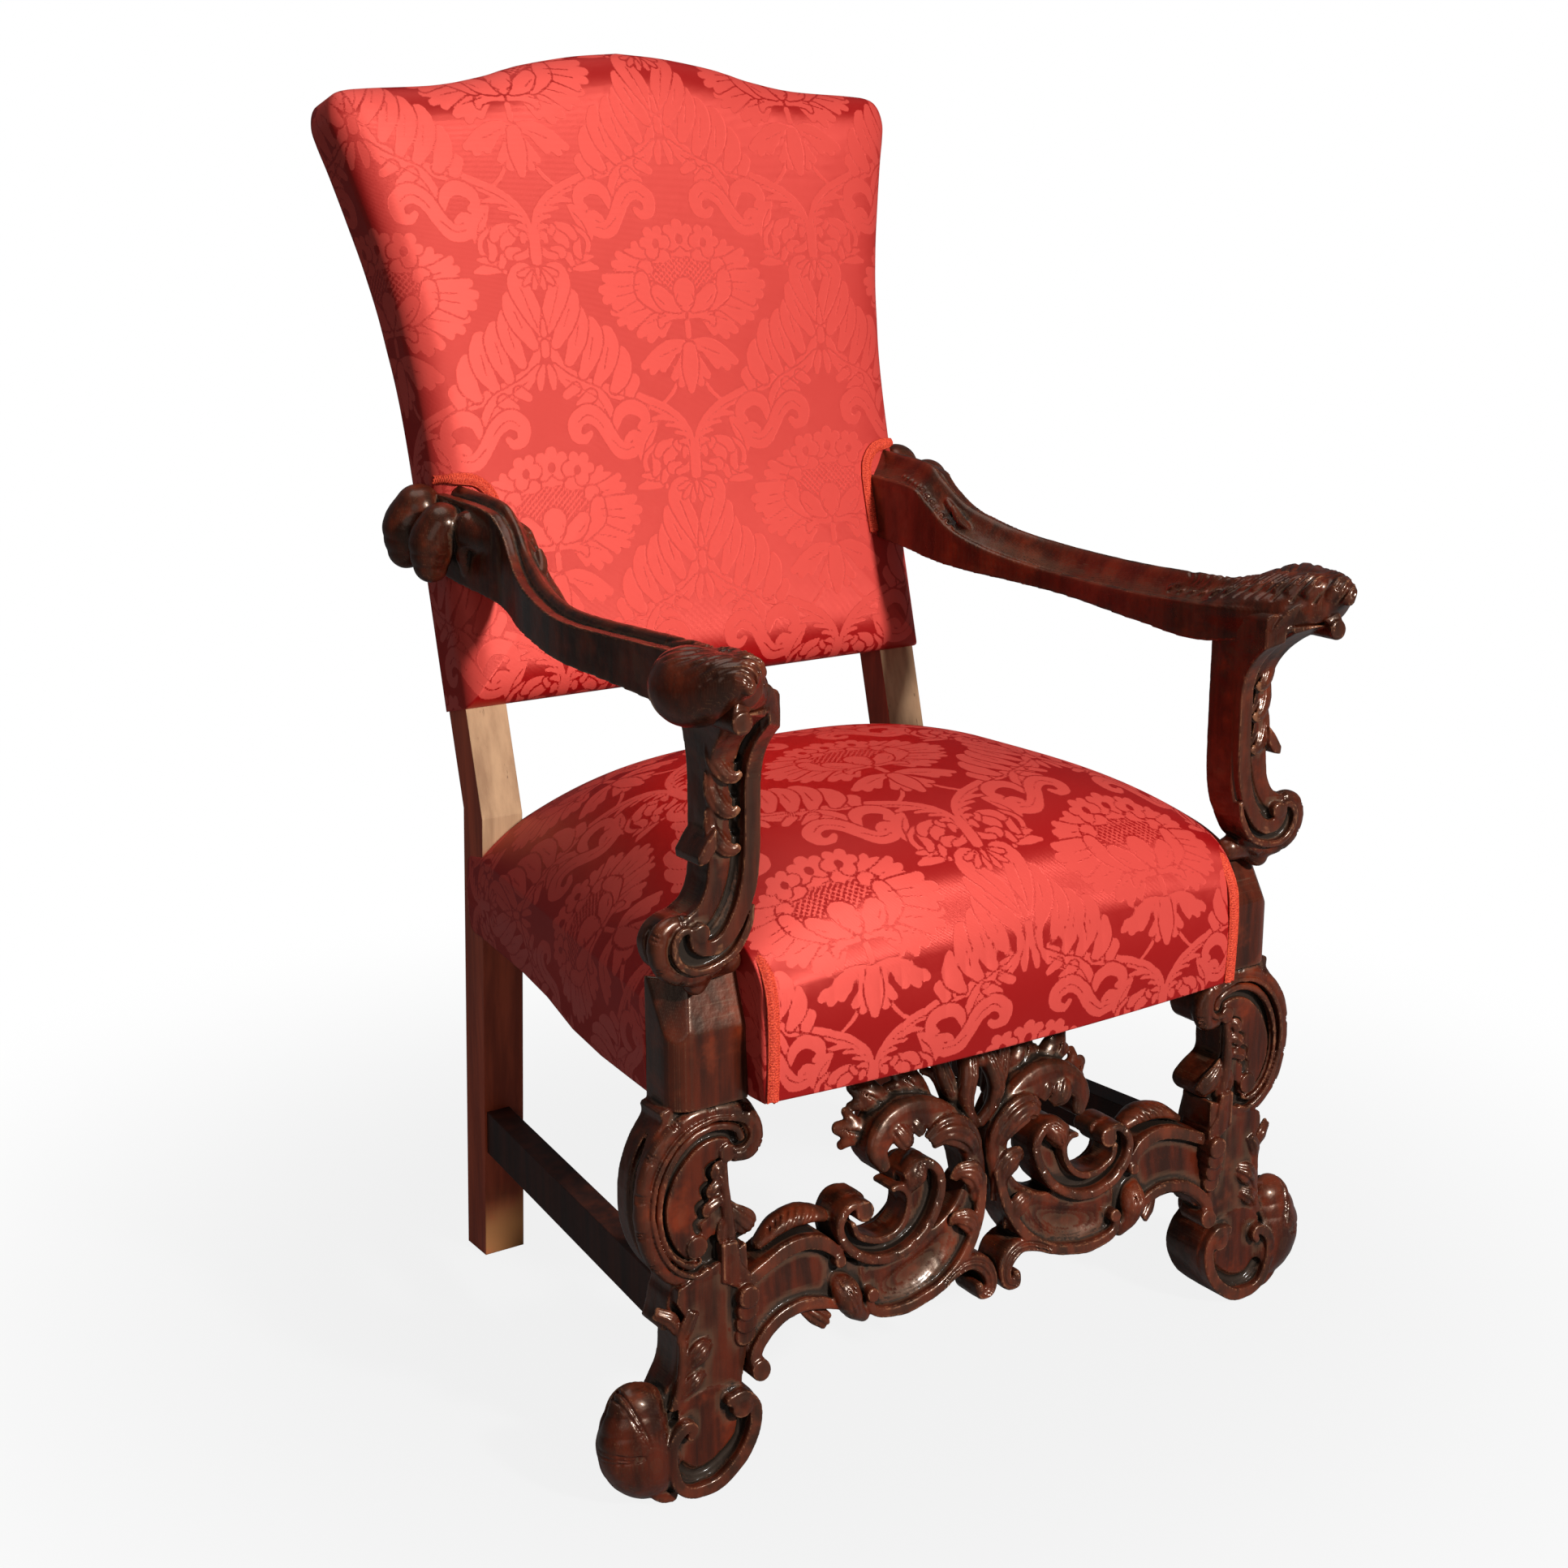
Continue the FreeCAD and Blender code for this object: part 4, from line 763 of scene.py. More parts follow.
# Arms, right side: stations from front to rear give the outer and inner sides, the top and the bottom
armPiece = {
    "step": 1.3,
    "room": ((206, -104, 628), (356, 566, 784)),
    "toolMarks": [(10.0, 0.12)],
    "ends": (-60, 545),
    # Height, place and width: the groove's in millimetres, the others' as a share of the arm's width
    "ridge": (7.0, 0.44, 0.17),
    "groove": (-3.4, 11, 1.7),
    "fineLine": (2.0, 0.93, 0.045),
    "cove": (-17.0, 0.44, 0.44),
    "stations": [
        (-60, 292, 278, 690, 672), (-20, 288, 254, 692, 652), (40, 284, 243, 691, 642),
        (120, 285, 243, 688, 647), (223, 292, 249, 688, 653), (297, 282, 238, 696, 658),
        (340, 272, 228, 706, 661), (372, 262, 222, 718, 664), (400, 256, 218, 738, 668),
        (425, 258, 216, 752, 673), (500, 262, 216, 757, 682), (545, 262, 216, 757, 700)],
    "ribs": 14,
    "boss": (316, -62, 686),
    "bossRadius": 8.5,
    "nose": (0.35, -0.94, 0.0),
    "core": [(100, 264, 676), (40, 268, 677), (0, 290, 680), (-30, 304, 682), (-60, 304, 689),
             (-84, 306, 690)],
}


def swelling(at, height, place, width):
    return height * np.exp(-((at - place) / width) ** 2)


def knuckleLeaf(carving):
    # Ribs that start on the outer side, pass over the top and end in round tips on the inner side; the front
    # ones lean forward, so that they circle the nose
    core = np.array(armPiece["core"], float)
    paths = []
    for rib in np.linspace(0, 1, armPiece["ribs"]):
        top = 62 - 104 * min(1, rib / 0.6)
        lean = math.radians(70) * max(0, rib / 0.6 - 1) * 1.5
        first = 30 + 40 * min(max(top / 60, 0), 1)
        path = []
        for share in np.linspace(0, 1, 13):
            turn = math.radians(first + (172 - first) * share)
            spread = 30 * (1 - 2 * share) ** 2 if share < 0.5 else 26 * (2 * share - 1) ** 1.4
            y = top + math.cos(lean) * spread
            middle = [np.interp(-y, -core[:, 0], core[:, c]) for c in (1, 2)]
            heading = math.cos(lean) * np.array([math.cos(turn), 0, math.sin(turn)])
            heading = heading + math.sin(lean) * np.array(armPiece["nose"])
            path.append((carving.surface((middle[0], y, middle[1]), heading, 70), heading))
        paths.append(path)
    for path in paths:
        tip = [(*(place - (5.5 - 1.7 * s) * heading), 5.5)
               for s, (place, heading) in zip((0, 0.4, 0.9, 1), path[-5:-1])]
        carving.stroke(tip, 1.0)
    for near, beyond in zip(paths, paths[1:]):
        groove = []
        for i, ((place, heading), (other, _)) in enumerate(zip(near, beyond)):
            lift = 1.1 + 0.7 * math.sin(i * math.pi / 12)
            groove.append((*(0.5 * (place + other) + lift * heading), 2.3 if 1 < i < 11 else 1.6))
        carving.stroke(groove, 1.2, True)
    for path in paths:
        carving.stroke([(*(place + 1.4 * heading), 1.8) for place, heading in path[3:-2]], 0.9, True)
    carving.stroke([(*armPiece["boss"], armPiece["bossRadius"])], 1.0)


def carveArm():
    carving = Carving(*armPiece["room"], armPiece["step"])
    x, y, z = carving.axes
    even = smoothLine([(s[0], 0, *s[1:]) for s in armPiece["stations"]], 4.0)
    outer, inner, top, bottom = (np.interp(y, even[:, 0], even[:, c]) for c in (2, 3, 4, 5))
    across = outer[None, :] - x[:, None]
    share = across / (outer - inner)[None, :]
    # From outside in: a flat band, a groove, a rounded ridge, a long cove and a fine raised line
    ridge, groove = swelling(share, *armPiece["ridge"]), swelling(across, *armPiece["groove"])
    height, start, width = armPiece["cove"]
    cove = height * np.clip((share - start) / width, 0, 1) ** 1.5
    crown = top[None, :] + ridge + groove + cove + swelling(share, *armPiece["fineLine"])
    side = np.maximum(x[:, None] - outer[None, :], inner[None, :] - x[:, None])[:, :, None]
    front, rear = armPiece["ends"]
    ends = np.maximum(front - y, y - rear)[None, :, None]
    body = np.maximum(np.maximum(side, ends), np.maximum(
        z[None, None, :] - crown[:, :, None], (bottom[None, :, None] - z[None, None, :])))
    carving.put(everywhere, body.astype(np.float32), 0)
    # The knuckle: a smooth ball on the outer side and a neck, under a leaf that folds over to the inner side
    carving.stroke([(300, 6, 681, 20), (315, -18, 681, 30), (312, -40, 684, 27), (309, -60, 692, 19),
                    (305, -74, 695, 13)], 3.0)
    carving.stroke([(276, 40, 682, 11), (280, 0, 688, 14), (284, -30, 693, 15), (292, -56, 695, 15)], 5.0)
    carving.stroke([(284, 30, 688, 3), (293, 16, 688, 7), (303, 4, 686, 9)], 1.5)
    carving.stroke([(264, 24, 670, 17), (270, -8, 672, 20), (280, -36, 677, 20), (294, -58, 683, 16)], 7.0)
    knuckleLeaf(carving)
    # Rear: the band's curl with a tongue below it, and two hanging lobes beside the stile
    carving.stroke([(250, 432, 732, 8), (253, 446, 737, 10)], 3.0)
    carving.stroke([(254, 454, 738, 10.5), (260, 454, 738, 10.5)], 0.6)
    carving.stroke([(261, 457, 730, 8), (261, 462, 712, 9), (256, 466, 693, 7)], 1.5)
    curl = [(272, 450, 741, 1.6), (271, 457, 742, 1.6), (271, 459, 735, 1.6), (271, 453, 733, 1.6)]
    carving.stroke(curl, 0.5, True)
    carving.stroke([(246, 430, 727, 17), (256, 455, 730, 18)], 4.0)
    carving.stroke([(276, 476, 734, 21), (284, 480, 718, 22), (286, 481, 698, 16)], 2.0)
    carving.stroke([(274, 528, 743, 23), (284, 531, 726, 24), (286, 532, 706, 18)], 2.0)
    carving.stroke([(296, 506, 752, 3), (310, 506, 720, 4), (304, 506, 684, 3)], 1.5, True)
    for y in np.arange(372, 452, 7.0):
        heading = np.array((-0.35, 0, 0.94))
        place = carving.surface((232 + 0.2 * (y - 372), y, 690), heading, 90)
        carving.stroke([(*(place - 1.6 * heading), 3.5)], 1.0)
    for pit in ((270, 500, 766, 7), (256, 512, 766, 6), (262, 540, 768, 6), (244, 530, 762, 6)):
        carving.stroke([pit], 1.0, True)
    # The leaf on the inner side, where the arm meets the back
    for step in range(5):
        tip = (231 + 4 * step, 372 + 15 * step, 720 + 5 * step)
        carving.stroke([(240 + 2 * step, 352 + 6 * step, 698 + 4 * step, 3),
                        (233 + 3 * step, 364 + 11 * step, 709 + 5 * step, 5), (*tip, 3)], 1.0)
        carving.stroke([(230 + 2 * step, 360 + 8 * step, 702 + 5 * step, 1.4),
                        (226 + 3 * step, 374 + 12 * step, 715 + 5 * step, 1.6)], 0.8, True)
    carving.roughen(armPiece["toolMarks"])
    return carving.mesh()


bothSides("arm_carved", carveArm(), walnut, "arm")
print("arms")

# Front stretcher: carved flat as its right half, mirrored, then leaned back towards the seat rail
stretcherPiece = {
    "step": 1.3,
    "room": ((0, -14, 78), (272, 52, 346)),
    "toolMarks": [(9.0, 0.16), (3.5, 0.07)],
    "lean": 0.165,
    "foot": (-8.0, 106.0),
    "plank": [(262, 118), (262, 172), (249, 175), (234, 183), (215, 190), (197, 193), (178, 189),
              (164, 178), (150, 162), (118, 154), (100, 150), (104, 132), (140, 124), (160, 126),
              (178, 131), (200, 135), (220, 131), (233, 121), (241, 109), (252, 108)],
    "bowl": [(141, 132), (140, 118), (128, 110), (106, 105), (87, 107), (63, 112), (42, 122), (26, 138),
             (15, 157), (8, 178), (5, 200), (20, 200), (38, 180), (58, 168), (75, 166), (92, 157),
             (118, 153), (139, 158)],
    "rim": [(135, 131, 3.5), (137, 122, 4), (129, 114, 4.5), (106, 110, 5), (87, 112, 5), (64, 118, 5),
            (46, 128, 5), (31, 142, 5), (20, 159, 5), (13, 178, 5), (9, 200, 5)],
    "arch": [(108, 234, 7), (112, 247, 10), (103, 260, 12), (88, 268, 13), (70, 270, 13), (52, 265, 13),
             (35, 254, 13), (22, 240, 12), (14, 224, 11), (12, 205, 10), (13, 185, 8)],
    "ridge": [(256, 171, 5.5), (233, 181, 5.5), (214, 188, 6), (195, 190, 6), (177, 185, 6), (165, 175, 5),
              (161, 168, 4)],
    "lower": [(250, 100, 7), (250, 112, 6), (237, 126, 6), (220, 135, 6), (199, 138, 6), (180, 134, 5),
              (168, 130, 4)],
    "cBody": [(133, 206, 8), (145, 206, 9), (153, 194, 10), (148, 175, 11), (129, 164, 11), (107, 164, 11),
              (88, 171, 12), (74, 183, 13), (67, 197, 14), (66, 210, 14), (74, 217, 13), (84, 217, 10)],
    "cOuter": [(136, 209, 3.5), (149, 209, 4), (159, 199, 4), (160, 188, 4), (153, 175, 4.5),
               (138, 163, 4.5), (118, 157, 4.5), (100, 158, 4.5), (84, 164, 4.5), (70, 174, 4.5),
               (60, 187, 4.5), (54, 201, 4.5), (53, 213, 4.5), (58, 222, 4.5), (68, 228, 4.5),
               (79, 227, 4.5), (88, 222, 4)],
    "cInner": [(145, 192, 2.5), (140, 181, 2.8), (122, 173, 3), (105, 174, 3), (93, 182, 3), (87, 194, 3),
               (87, 205, 3), (94, 212, 3), (101, 212, 2.5)],
    "volute": [(62, 117, 4), (46, 126, 6), (29, 130, 7), (15, 124, 8), (8, 112, 7), (10, 101, 6),
               (19, 99, 5), (21, 106, 4)],
    "lips": [[(10, 8, 206, 6), (15, 0, 230, 10), (29, -5, 246, 13), (45, -5, 251, 12), (58, 0, 244, 8)],
             [(11, 8, 174, 6), (13, 1, 194, 9), (21, -4, 208, 10), (32, -2, 211, 7), (37, 3, 205, 4)],
             [(21, 8, 146, 5), (22, 1, 158, 8), (30, -4, 169, 9), (40, -1, 171, 6), (44, 4, 166, 3)],
             [(98, 8, 268, 5), (92, 0, 262, 9), (86, -2, 252, 9), (78, 3, 246, 5)],
             [(78, 6, 270, 5), (72, 0, 262, 7), (66, 2, 253, 5)]],
    "leaves": [[(98, 26, 250, 9), (116, 25, 258, 12), (134, 30, 263, 6)],
               [(80, 26, 266, 9), (98, 25, 282, 13), (115, 31, 294, 6)],
               [(46, 24, 268, 9), (60, 23, 286, 13), (74, 29, 302, 6)],
               [(22, 24, 266, 7), (27, 22, 284, 9), (31, 26, 303, 5)]],
    "flower": [[(3, 12, 244, 5), (13, 7, 258, 6), (17, 3, 276, 8), (13, 2, 292, 9), (9, 8, 310, 10),
                (9, 14, 338, 10)],
               [(18, 16, 258, 6), (27, 12, 280, 8), (34, 14, 304, 8), (38, 20, 338, 8)]],
}


def carveStretcher():
    shape = stretcherPiece
    carving = Carving(*shape["room"], shape["step"])
    carving.slab(closed(shape["plank"]), 8, 36, 2.0)
    carving.slab(closed(shape["bowl"]), 6, 36, 2.0)
    # Leaves and the flower stand behind the scrolls
    for leaf in shape["leaves"]:
        carving.stroke(leaf, 2.0, squash=0.6)
        (x0, y0, z0, r0), (x1, y1, z1, r1), (x2, y2, z2, r2) = leaf
        carving.stroke([(x0, y0 - 7, z0, 1.2), (x1, y1 - 8, z1, 1.8), (x2, y2 - 3, z2, 1.0)], 1.0, True)
        for turn in (-1, 1):
            tipX = x2 - 0.3 * (x2 - x1) - 0.75 * turn * (z2 - z1)
            tipZ = z2 - 0.3 * (z2 - z1) + 0.75 * turn * (x2 - x1)
            carving.stroke([(x0, y0, z0, 0.8 * r0), (0.5 * (x1 + tipX), y1, 0.5 * (z1 + tipZ), 0.5 * r1),
                            (tipX, y2, tipZ, 0.7 * r2)], 1.0, squash=0.7)
    for petal in shape["flower"]:
        carving.stroke(petal, 2.0)
        carving.stroke([(x, y - r + 0.4, z, 1.4) for x, y, z, r in petal[1:]], 0.8, True)
    carving.stroke([(0, 4, 301, 6), (8, 6, 303, 6)], 2.0)
    # Roped leaf above the plank
    rope = [(232, 193, 4), (215, 203, 7), (200, 207, 8), (184, 207, 8), (168, 202, 6)]
    carving.stroke([(x, 18, z, h) for x, z, h in rope], 2.0, squash=1.6)
    for x, z, h in smoothLine(rope, 9.0)[1:-1]:
        carving.stroke([(x + 8, 6, z - 5, 1.6), (x + 2, 6, z + 4, 2.0), (x - 5, 14, z + 9, 1.8)], 1.0, True)
    # The dished bowl and its rim, the arch over it, and leaf tips that curl out from the stem
    carving.stroke([(128, -10, 130, 15), (104, -10, 131, 20), (80, -10, 136, 21), (55, -10, 150, 19),
                    (36, -8, 168, 13), (28, -6, 190, 9)], 1.5, True)
    carving.ribbon(shape["rim"], -2, 36, 2.0, 1.0)
    carving.ribbon(shape["arch"], 0, 34, 3.0, 1.0, 3.0)
    carving.leaf([(x, 4, z, h) for x, z, h in shape["arch"]], 5, 0.6)
    for lip in shape["lips"]:
        carving.leaf(lip, 4)
    # The C-scroll: two fillets with a groove between, ticked across
    carving.ribbon(shape["cBody"], 11, 36, 2.0, 1.0)
    carving.ribbon(shape["cInner"], 1, 30, 1.5, 0.8)
    carving.ribbon(shape["cOuter"], -3, 30, 2.5, 1.0, 1.0)
    outer = smoothLine(shape["cOuter"])
    for at in range(8, len(outer) - 4, 9):
        for shift in (0, 1):
            a, b = (beside(outer, side)[at + shift] for side in (-5, 5))
            carving.stroke([(a[0], -2.2, a[1], 0.8), (b[0], -2.2, b[1], 0.8)], 0.4, True)
    carving.disc(135, 203, 9, -3)
    carving.stroke([(70, 12, 226, 9), (78, 5, 221, 12), (84, 8, 210, 8)], 1.5)
    carving.veins([(70, -2, 230, 1.0), (79, -7, 221, 1.3), (84, -2, 210, 1.0)], (-4, 0, 4))
    # The plank's upper and lower fillets with their curls, the ball and the pendant
    carving.ribbon(shape["ridge"], 0, 36, 1.2, 0.8)
    carving.ribbon(shape["lower"], 1, 36, 1.5, 0.8)
    carving.stroke([(x, 1.5, z, 1.6) for x, z, h in beside(smoothLine(shape["lower"]), 5.5)[4::4]], 0.8, True)
    carving.disc(163, 167, 5.5, -2)
    carving.disc(249, 98, 9, -1)
    carving.leaf([(196, 14, 132, 5), (186, 10, 124, 8), (177, 8, 116, 7)], 3)
    carving.stroke([(164, 10, 148, 9), (159, 3, 138, 13), (153, 4, 124, 10), (143, 6, 115, 7)], 1.5)
    carving.veins([(164, 0, 150, 1.0), (159, -10, 138, 1.3), (152, -6, 122, 1.0)], (-5, 0, 5))
    carving.disc(135, 131, 6, -4)
    # Volutes that hang at the middle
    carving.ribbon(shape["volute"], -2, 34, 2.5, 1.0, 2.0)
    volute = smoothLine(shape["volute"])
    for share in (-0.3, 0.4):
        vein = beside(volute, share * volute[:, 2])[2:-2:2]
        carving.stroke([(x, -1, z, 1.3) for x, z, h in vein], 0.8, True)
    carving.roughen(shape["toolMarks"])
    points, faces, attributes = carving.mirrored().mesh()
    face, height = shape["foot"]
    points[:, 1] += face + shape["lean"] * (points[:, 2] - height)
    return points, faces, attributes


points, faces, attributes = carveStretcher()
makePiece("stretcher_carved", placed(points), faces, walnut, attributes, ["front_stretcher"])
print("front stretcher")

# The damask's repeat, drawn as petals and leaves over one another, each in a thin dark line
damaskRepeat = {
    "width": 316.0,
    "height": 424.0,
    "seam": 350.0,
    "step": 0.6,
    "gap": 1.9,
    # Strokes of (across, up, half width) from the flower's middle; a later one cuts a gap in those before it
    "leaves": [
        # the stem from the crossing to the next column's node
        [(3, -262, 4), (15, -287, 5), (33, -301, 6), (64, -313, 6), (95, -322, 6), (130, -337, 5.5),
         (150, -356, 4.5), (156, -381, 3.5), (157, -396, 3)],
        # acanthus on the stem, from its knob up to the crossing
        [(88, -318, 5), (92, -306, 8)],
        [(72, -312, 5), (80, -300, 9), (82, -287, 9.5), (80, -279, 8)],
        [(54, -304, 5), (64, -288, 9), (68, -271, 10.5), (66, -260, 9)],
        [(39, -296, 5), (48, -278, 9), (52, -261, 10), (50, -250, 8)],
        [(25, -283, 5), (34, -264, 9), (38, -248, 9.5), (37, -238, 8)],
        [(12, -266, 5), (23, -248, 9), (30, -233, 9.5), (32, -223, 8)],
        [(3, -254, 4), (9, -238, 9), (17, -221, 11), (23, -208, 10), (21, -197, 7), (13, -194, 4.5),
         (8, -200, 3)],
        # scrolled leaves under the crossing
        [(8, -288, 3), (22, -302, 6), (38, -312, 8), (52, -319, 8.5), (63, -331, 6), (68, -350, 3)],
        [(46, -317, 6), (34, -325, 4.5)], [(30, -309, 5), (20, -315, 4)],
        [(3, -287, 2), (6, -297, 4), (7, -307, 2.5)],
        [(70, -350, 3), (76, -335, 6), (88, -330, 7), (100, -335, 6.5), (104, -344, 5), (98, -350, 3.5)],
        [(83, -361, 3.5), (89, -357, 4.5), (96, -362, 6), (90, -371, 7), (76, -371, 8), (65, -358, 7.5),
         (55, -342, 8), (41, -334, 9), (28, -341, 8), (28, -354, 6), (37, -358, 4.5), (43, -353, 3)],
        # the leaf blade, stem and sprig beside the node
        [(44, -136, 3), (52, -145, 7.5), (58, -157, 7.5), (60, -168, 2.5)],
        [(44, -156, 1.8), (55, -166, 2.4), (56, -178, 2.4), (47, -188, 2.4), (34, -197, 2.2)],
        [(40, -195, 3), (52, -194, 5), (64, -196, 2)], [(38, -190, 2), (52, -186, 3), (60, -185, 1.5)],
        [(34, -184, 4), (37, -191, 3)], [(46, -167, 3), (44, -178, 4.5), (46, -184, 3)],
        [(26, -158, 7), (36, -160, 7), (42, -165, 4)], [(24, -164, 5), (30, -169, 6), (33, -174, 3)],
        [(20, -157, 4), (18, -161, 3)], [(20, -180, 6), (26, -180, 6)],
        [(0, -172, 3), (10, -181, 3.5), (20, -184, 3)],
        # leaflets inside the stem
        [(4, -161, 1.5), (10, -155, 3), (16, -155, 1.5)], [(4, -152, 1.5), (12, -146, 3.4), (21, -146, 1.5)],
        [(9, -143, 1.5), (20, -138, 3.2), (31, -138, 1.5)],
        [(20, -134, 1.5), (34, -130, 3.2), (46, -131, 1.5)],
        [(6, -168, 1.5), (11, -163, 3), (12, -169, 2.5)],
        # node, fan and bead
        [(0, -158, 5), (0, -185, 5.5), (0, -192, 3)], [(3, -195, 2), (12, -198, 3), (19, -200, 2)],
        [(2, -196, 2), (10, -204, 3), (15, -209, 1.6)], [(0, -196, 2), (3, -206, 3.4), (5, -213, 2)],
        [(0, -266, 4), (0, -275, 4)], [(0, -244, 1.5), (0, -256, 3)],
        # drooping leaves under the flower
        [(14, -94, 1.6), (22, -107, 2), (33, -117, 1.6)], [(0, -40, 3), (0, -62, 3)],
    ],
    # Leaves and petals of several fingers each, outermost first
    "petals": [
        [[(3, -61, 4), (20, -63, 8), (36, -71, 8), (52, -80, 4)], [(28, -68, 7), (43, -85, 4)],
         [(20, -66, 6), (31, -83, 4)]],
        [[(0, -66, 7), (0, -84, 9), (0, -105, 4)], [(0, -78, 8), (11, -99, 4)], [(4, -74, 7), (19, -92, 4)]],
        [[(16, -28, 6), (38, -34, 9), (58, -38, 4.5)], [(32, -34, 8), (54, -49, 4.5)],
         [(28, -34, 7), (43, -54, 4.5)], [(20, -32, 6), (30, -50, 4)]],
        [[(26, 22, 6), (42, 27, 7), (60, 30, 4)], [(34, 25, 6), (51, 37, 4)], [(30, 25, 5), (40, 37, 4)]],
        [[(36, -22, 6), (56, -25, 8), (81, -27, 4)], [(50, -26, 7), (75, -37, 4)],
         [(46, -26, 6), (64, -41, 4)]],
        [[(38, 12, 6), (54, 16, 8), (75, 19, 4)], [(50, 15, 7), (70, 28, 4)], [(52, 13, 6), (75, 10, 4)]],
        [[(40, 1, 7), (62, -3, 9), (91, -5, 4.5)], [(58, 2, 8), (86, 6, 4.5)], [(62, -6, 8), (88, -15, 4.5)],
         [(56, -8, 7), (78, -21, 4.5)]],
        [[(3, -33, 3), (15, -31, 5), (27, -35, 4.5), (30, -41, 2.5)]],
        [[(30, 10, 9), (41, 13, 9)]], [[(14, 16, 9), (23, 23, 10)]], [[(0, 18, 10), (0, 28, 11)]],
    ],
    "lattice": (0.0, 6.0, 37.0, 17.0),
    "latticeThreads": (6.0, 0.9),
    "cup": [[[(47, 4, 7), (45, -9, 9), (30, -20, 9)]], [[(30, -9, 7), (22, -18, 9), (9, -25, 5)]],
            [[(0, -8, 12), (0, -16, 10), (0, -25, 4)]]],
    "buds": [(0, 42, 0.0, 1.0), (27, 38, 0.6, 0.92)],
    "veins": [[(70, -316), (95, -324), (130, -339), (149, -358), (155, -381)],
              [(6, -250), (13, -231), (20, -212)], [(32, -268), (37, -250)], [(46, -282), (51, -262)],
              [(62, -292), (67, -272)], [(22, -250), (29, -234)],
              [(20, -300), (38, -311), (54, -321), (63, -336)],
              [(58, -348), (50, -339), (40, -335), (31, -341)], [(66, -360), (78, -370), (90, -369)],
              [(46, -142), (54, -152), (58, -162)], [(50, -1), (74, -3)], [(52, -7), (76, -12)],
              [(44, 13), (60, 17)], [(44, -24), (64, -29)], [(24, -32), (46, -39)], [(14, -64), (34, -72)],
              [(8, -12), (10, -19), (4, -24)], [(32, -14), (24, -21)]],
}


def budStrokes(x, y, lean, size):
    # Three small lobes over two full ones
    lobes = ((-11, 9, 5.5), (0, 14, 6), (11, 9, 5.5), (-9, -4, 7.5), (9, -4, 7.5))
    cos, sin = size * math.cos(lean), size * math.sin(lean)
    turned = [(x + cos * u + sin * v, y - sin * u + cos * v, r * size) for u, v, r in lobes]
    return [[(x, y, 4 * size), lobe] for lobe in turned]


def damaskDistance():
    # Signed distance into the motif over half a column, positive inside
    step, gap = damaskRepeat["step"], damaskRepeat["gap"]
    x = np.arange(-20, damaskRepeat["width"] / 2 + 40, step, dtype=np.float32)[:, None]
    y = np.arange(-410, 90, step, dtype=np.float32)[None, :]
    field = np.full((x.shape[0], y.shape[1]), -far, np.float32)

    def away(strokes, sign):
        total = np.full(field.shape, far, np.float32)
        for stroke in strokes:
            line = smoothLine([(sign * px, py, r) for px, py, r in stroke], 3.0)
            for a, b in zip(line, line[1:]):
                reach = max(a[2], b[2]) + 8
                corners = np.minimum(a, b) - reach, np.maximum(a, b) + reach
                i0, i1 = (int((corner[0] - x[0, 0]) / step) for corner in corners)
                j0, j1 = (int((corner[1] - y[0, 0]) / step) for corner in corners)
                part = np.s_[max(i0, 0):max(i1, 0), max(j0, 0):max(j1, 0)]
                px, py = x[part[0]], y[:, part[1]]
                ex, ey = b[:2] - a[:2]
                t = np.clip(((px - a[0]) * ex + (py - a[1]) * ey) / (ex * ex + ey * ey + 1e-9), 0, 1)
                near = np.hypot(px - a[0] - t * ex, py - a[1] - t * ey) - a[2] - t * (b[2] - a[2])
                total[part] = np.minimum(total[part], near)
        return total

    def draw(field, groups):
        for group in groups:
            for sign in (1, -1):
                if sign < 0 and min(p[0] - p[2] for stroke in group for p in stroke) > 2:
                    continue
                shape = away(group, sign)
                field = np.maximum(np.minimum(field, shape - gap), -shape)
        return field

    field = draw(field, [[leaf] for leaf in damaskRepeat["leaves"]] + damaskRepeat["petals"])
    u0, v0, ru, rv = damaskRepeat["lattice"]
    u, v = (x - u0) / ru, (y - v0) / rv
    cloud = (1 - np.hypot(u, v)) * rv + 1.6 * np.cos(9 * np.arctan2(v, u))
    pitch, half = damaskRepeat["latticeThreads"]
    weave = np.minimum(*(np.abs(slant % pitch - pitch / 2) for slant in (x + y, x - y))) - half
    field = np.where(cloud > 0, np.minimum(np.maximum(-weave, -2), cloud), np.minimum(field, -cloud - 0.8))
    field = draw(field, damaskRepeat["cup"] + [budStrokes(*bud) for bud in damaskRepeat["buds"]])
    for vein in damaskRepeat["veins"]:
        field = np.minimum(field, away([[(px, py, 0.7) for px, py in vein]], 1))
    for px, py, lean, size in damaskRepeat["buds"]:
        field = np.minimum(field, np.hypot(x - px, 0.8 * (y - py)) - 4.2 * size)
    return field, x[0, 0], y[0, 0], step


damaskField = damaskDistance()


def damaskAt(across, along):
    # The distance into the motif at places on the cloth, with every second column dropped by half
    field, x0, y0, step = damaskField
    width, height, seam = (damaskRepeat[label] for label in ("width", "height", "seam"))

    def sample(x, y):
        i = np.clip((x - x0) / step, 0, field.shape[0] - 1.01)
        j = np.clip((y - y0) / step, 0, field.shape[1] - 1.01)
        a, b = i.astype(int), j.astype(int)
        u, v = i - a, j - b
        low = field[a, b] * (1 - v) + field[a, b + 1] * v
        return low * (1 - u) + (field[a + 1, b] * (1 - v) + field[a + 1, b + 1] * v) * u

    best = np.full(len(across), -far)
    for column in (0, 1):
        x = np.abs((across + column * width / 2 + width / 2) % width - width / 2)
        base = (along + column * height / 2 + seam) % height - seam
        for shift in (0, height, -height):
            best = np.maximum(best, sample(x, base + shift))
    return np.clip(best, -4, 4)


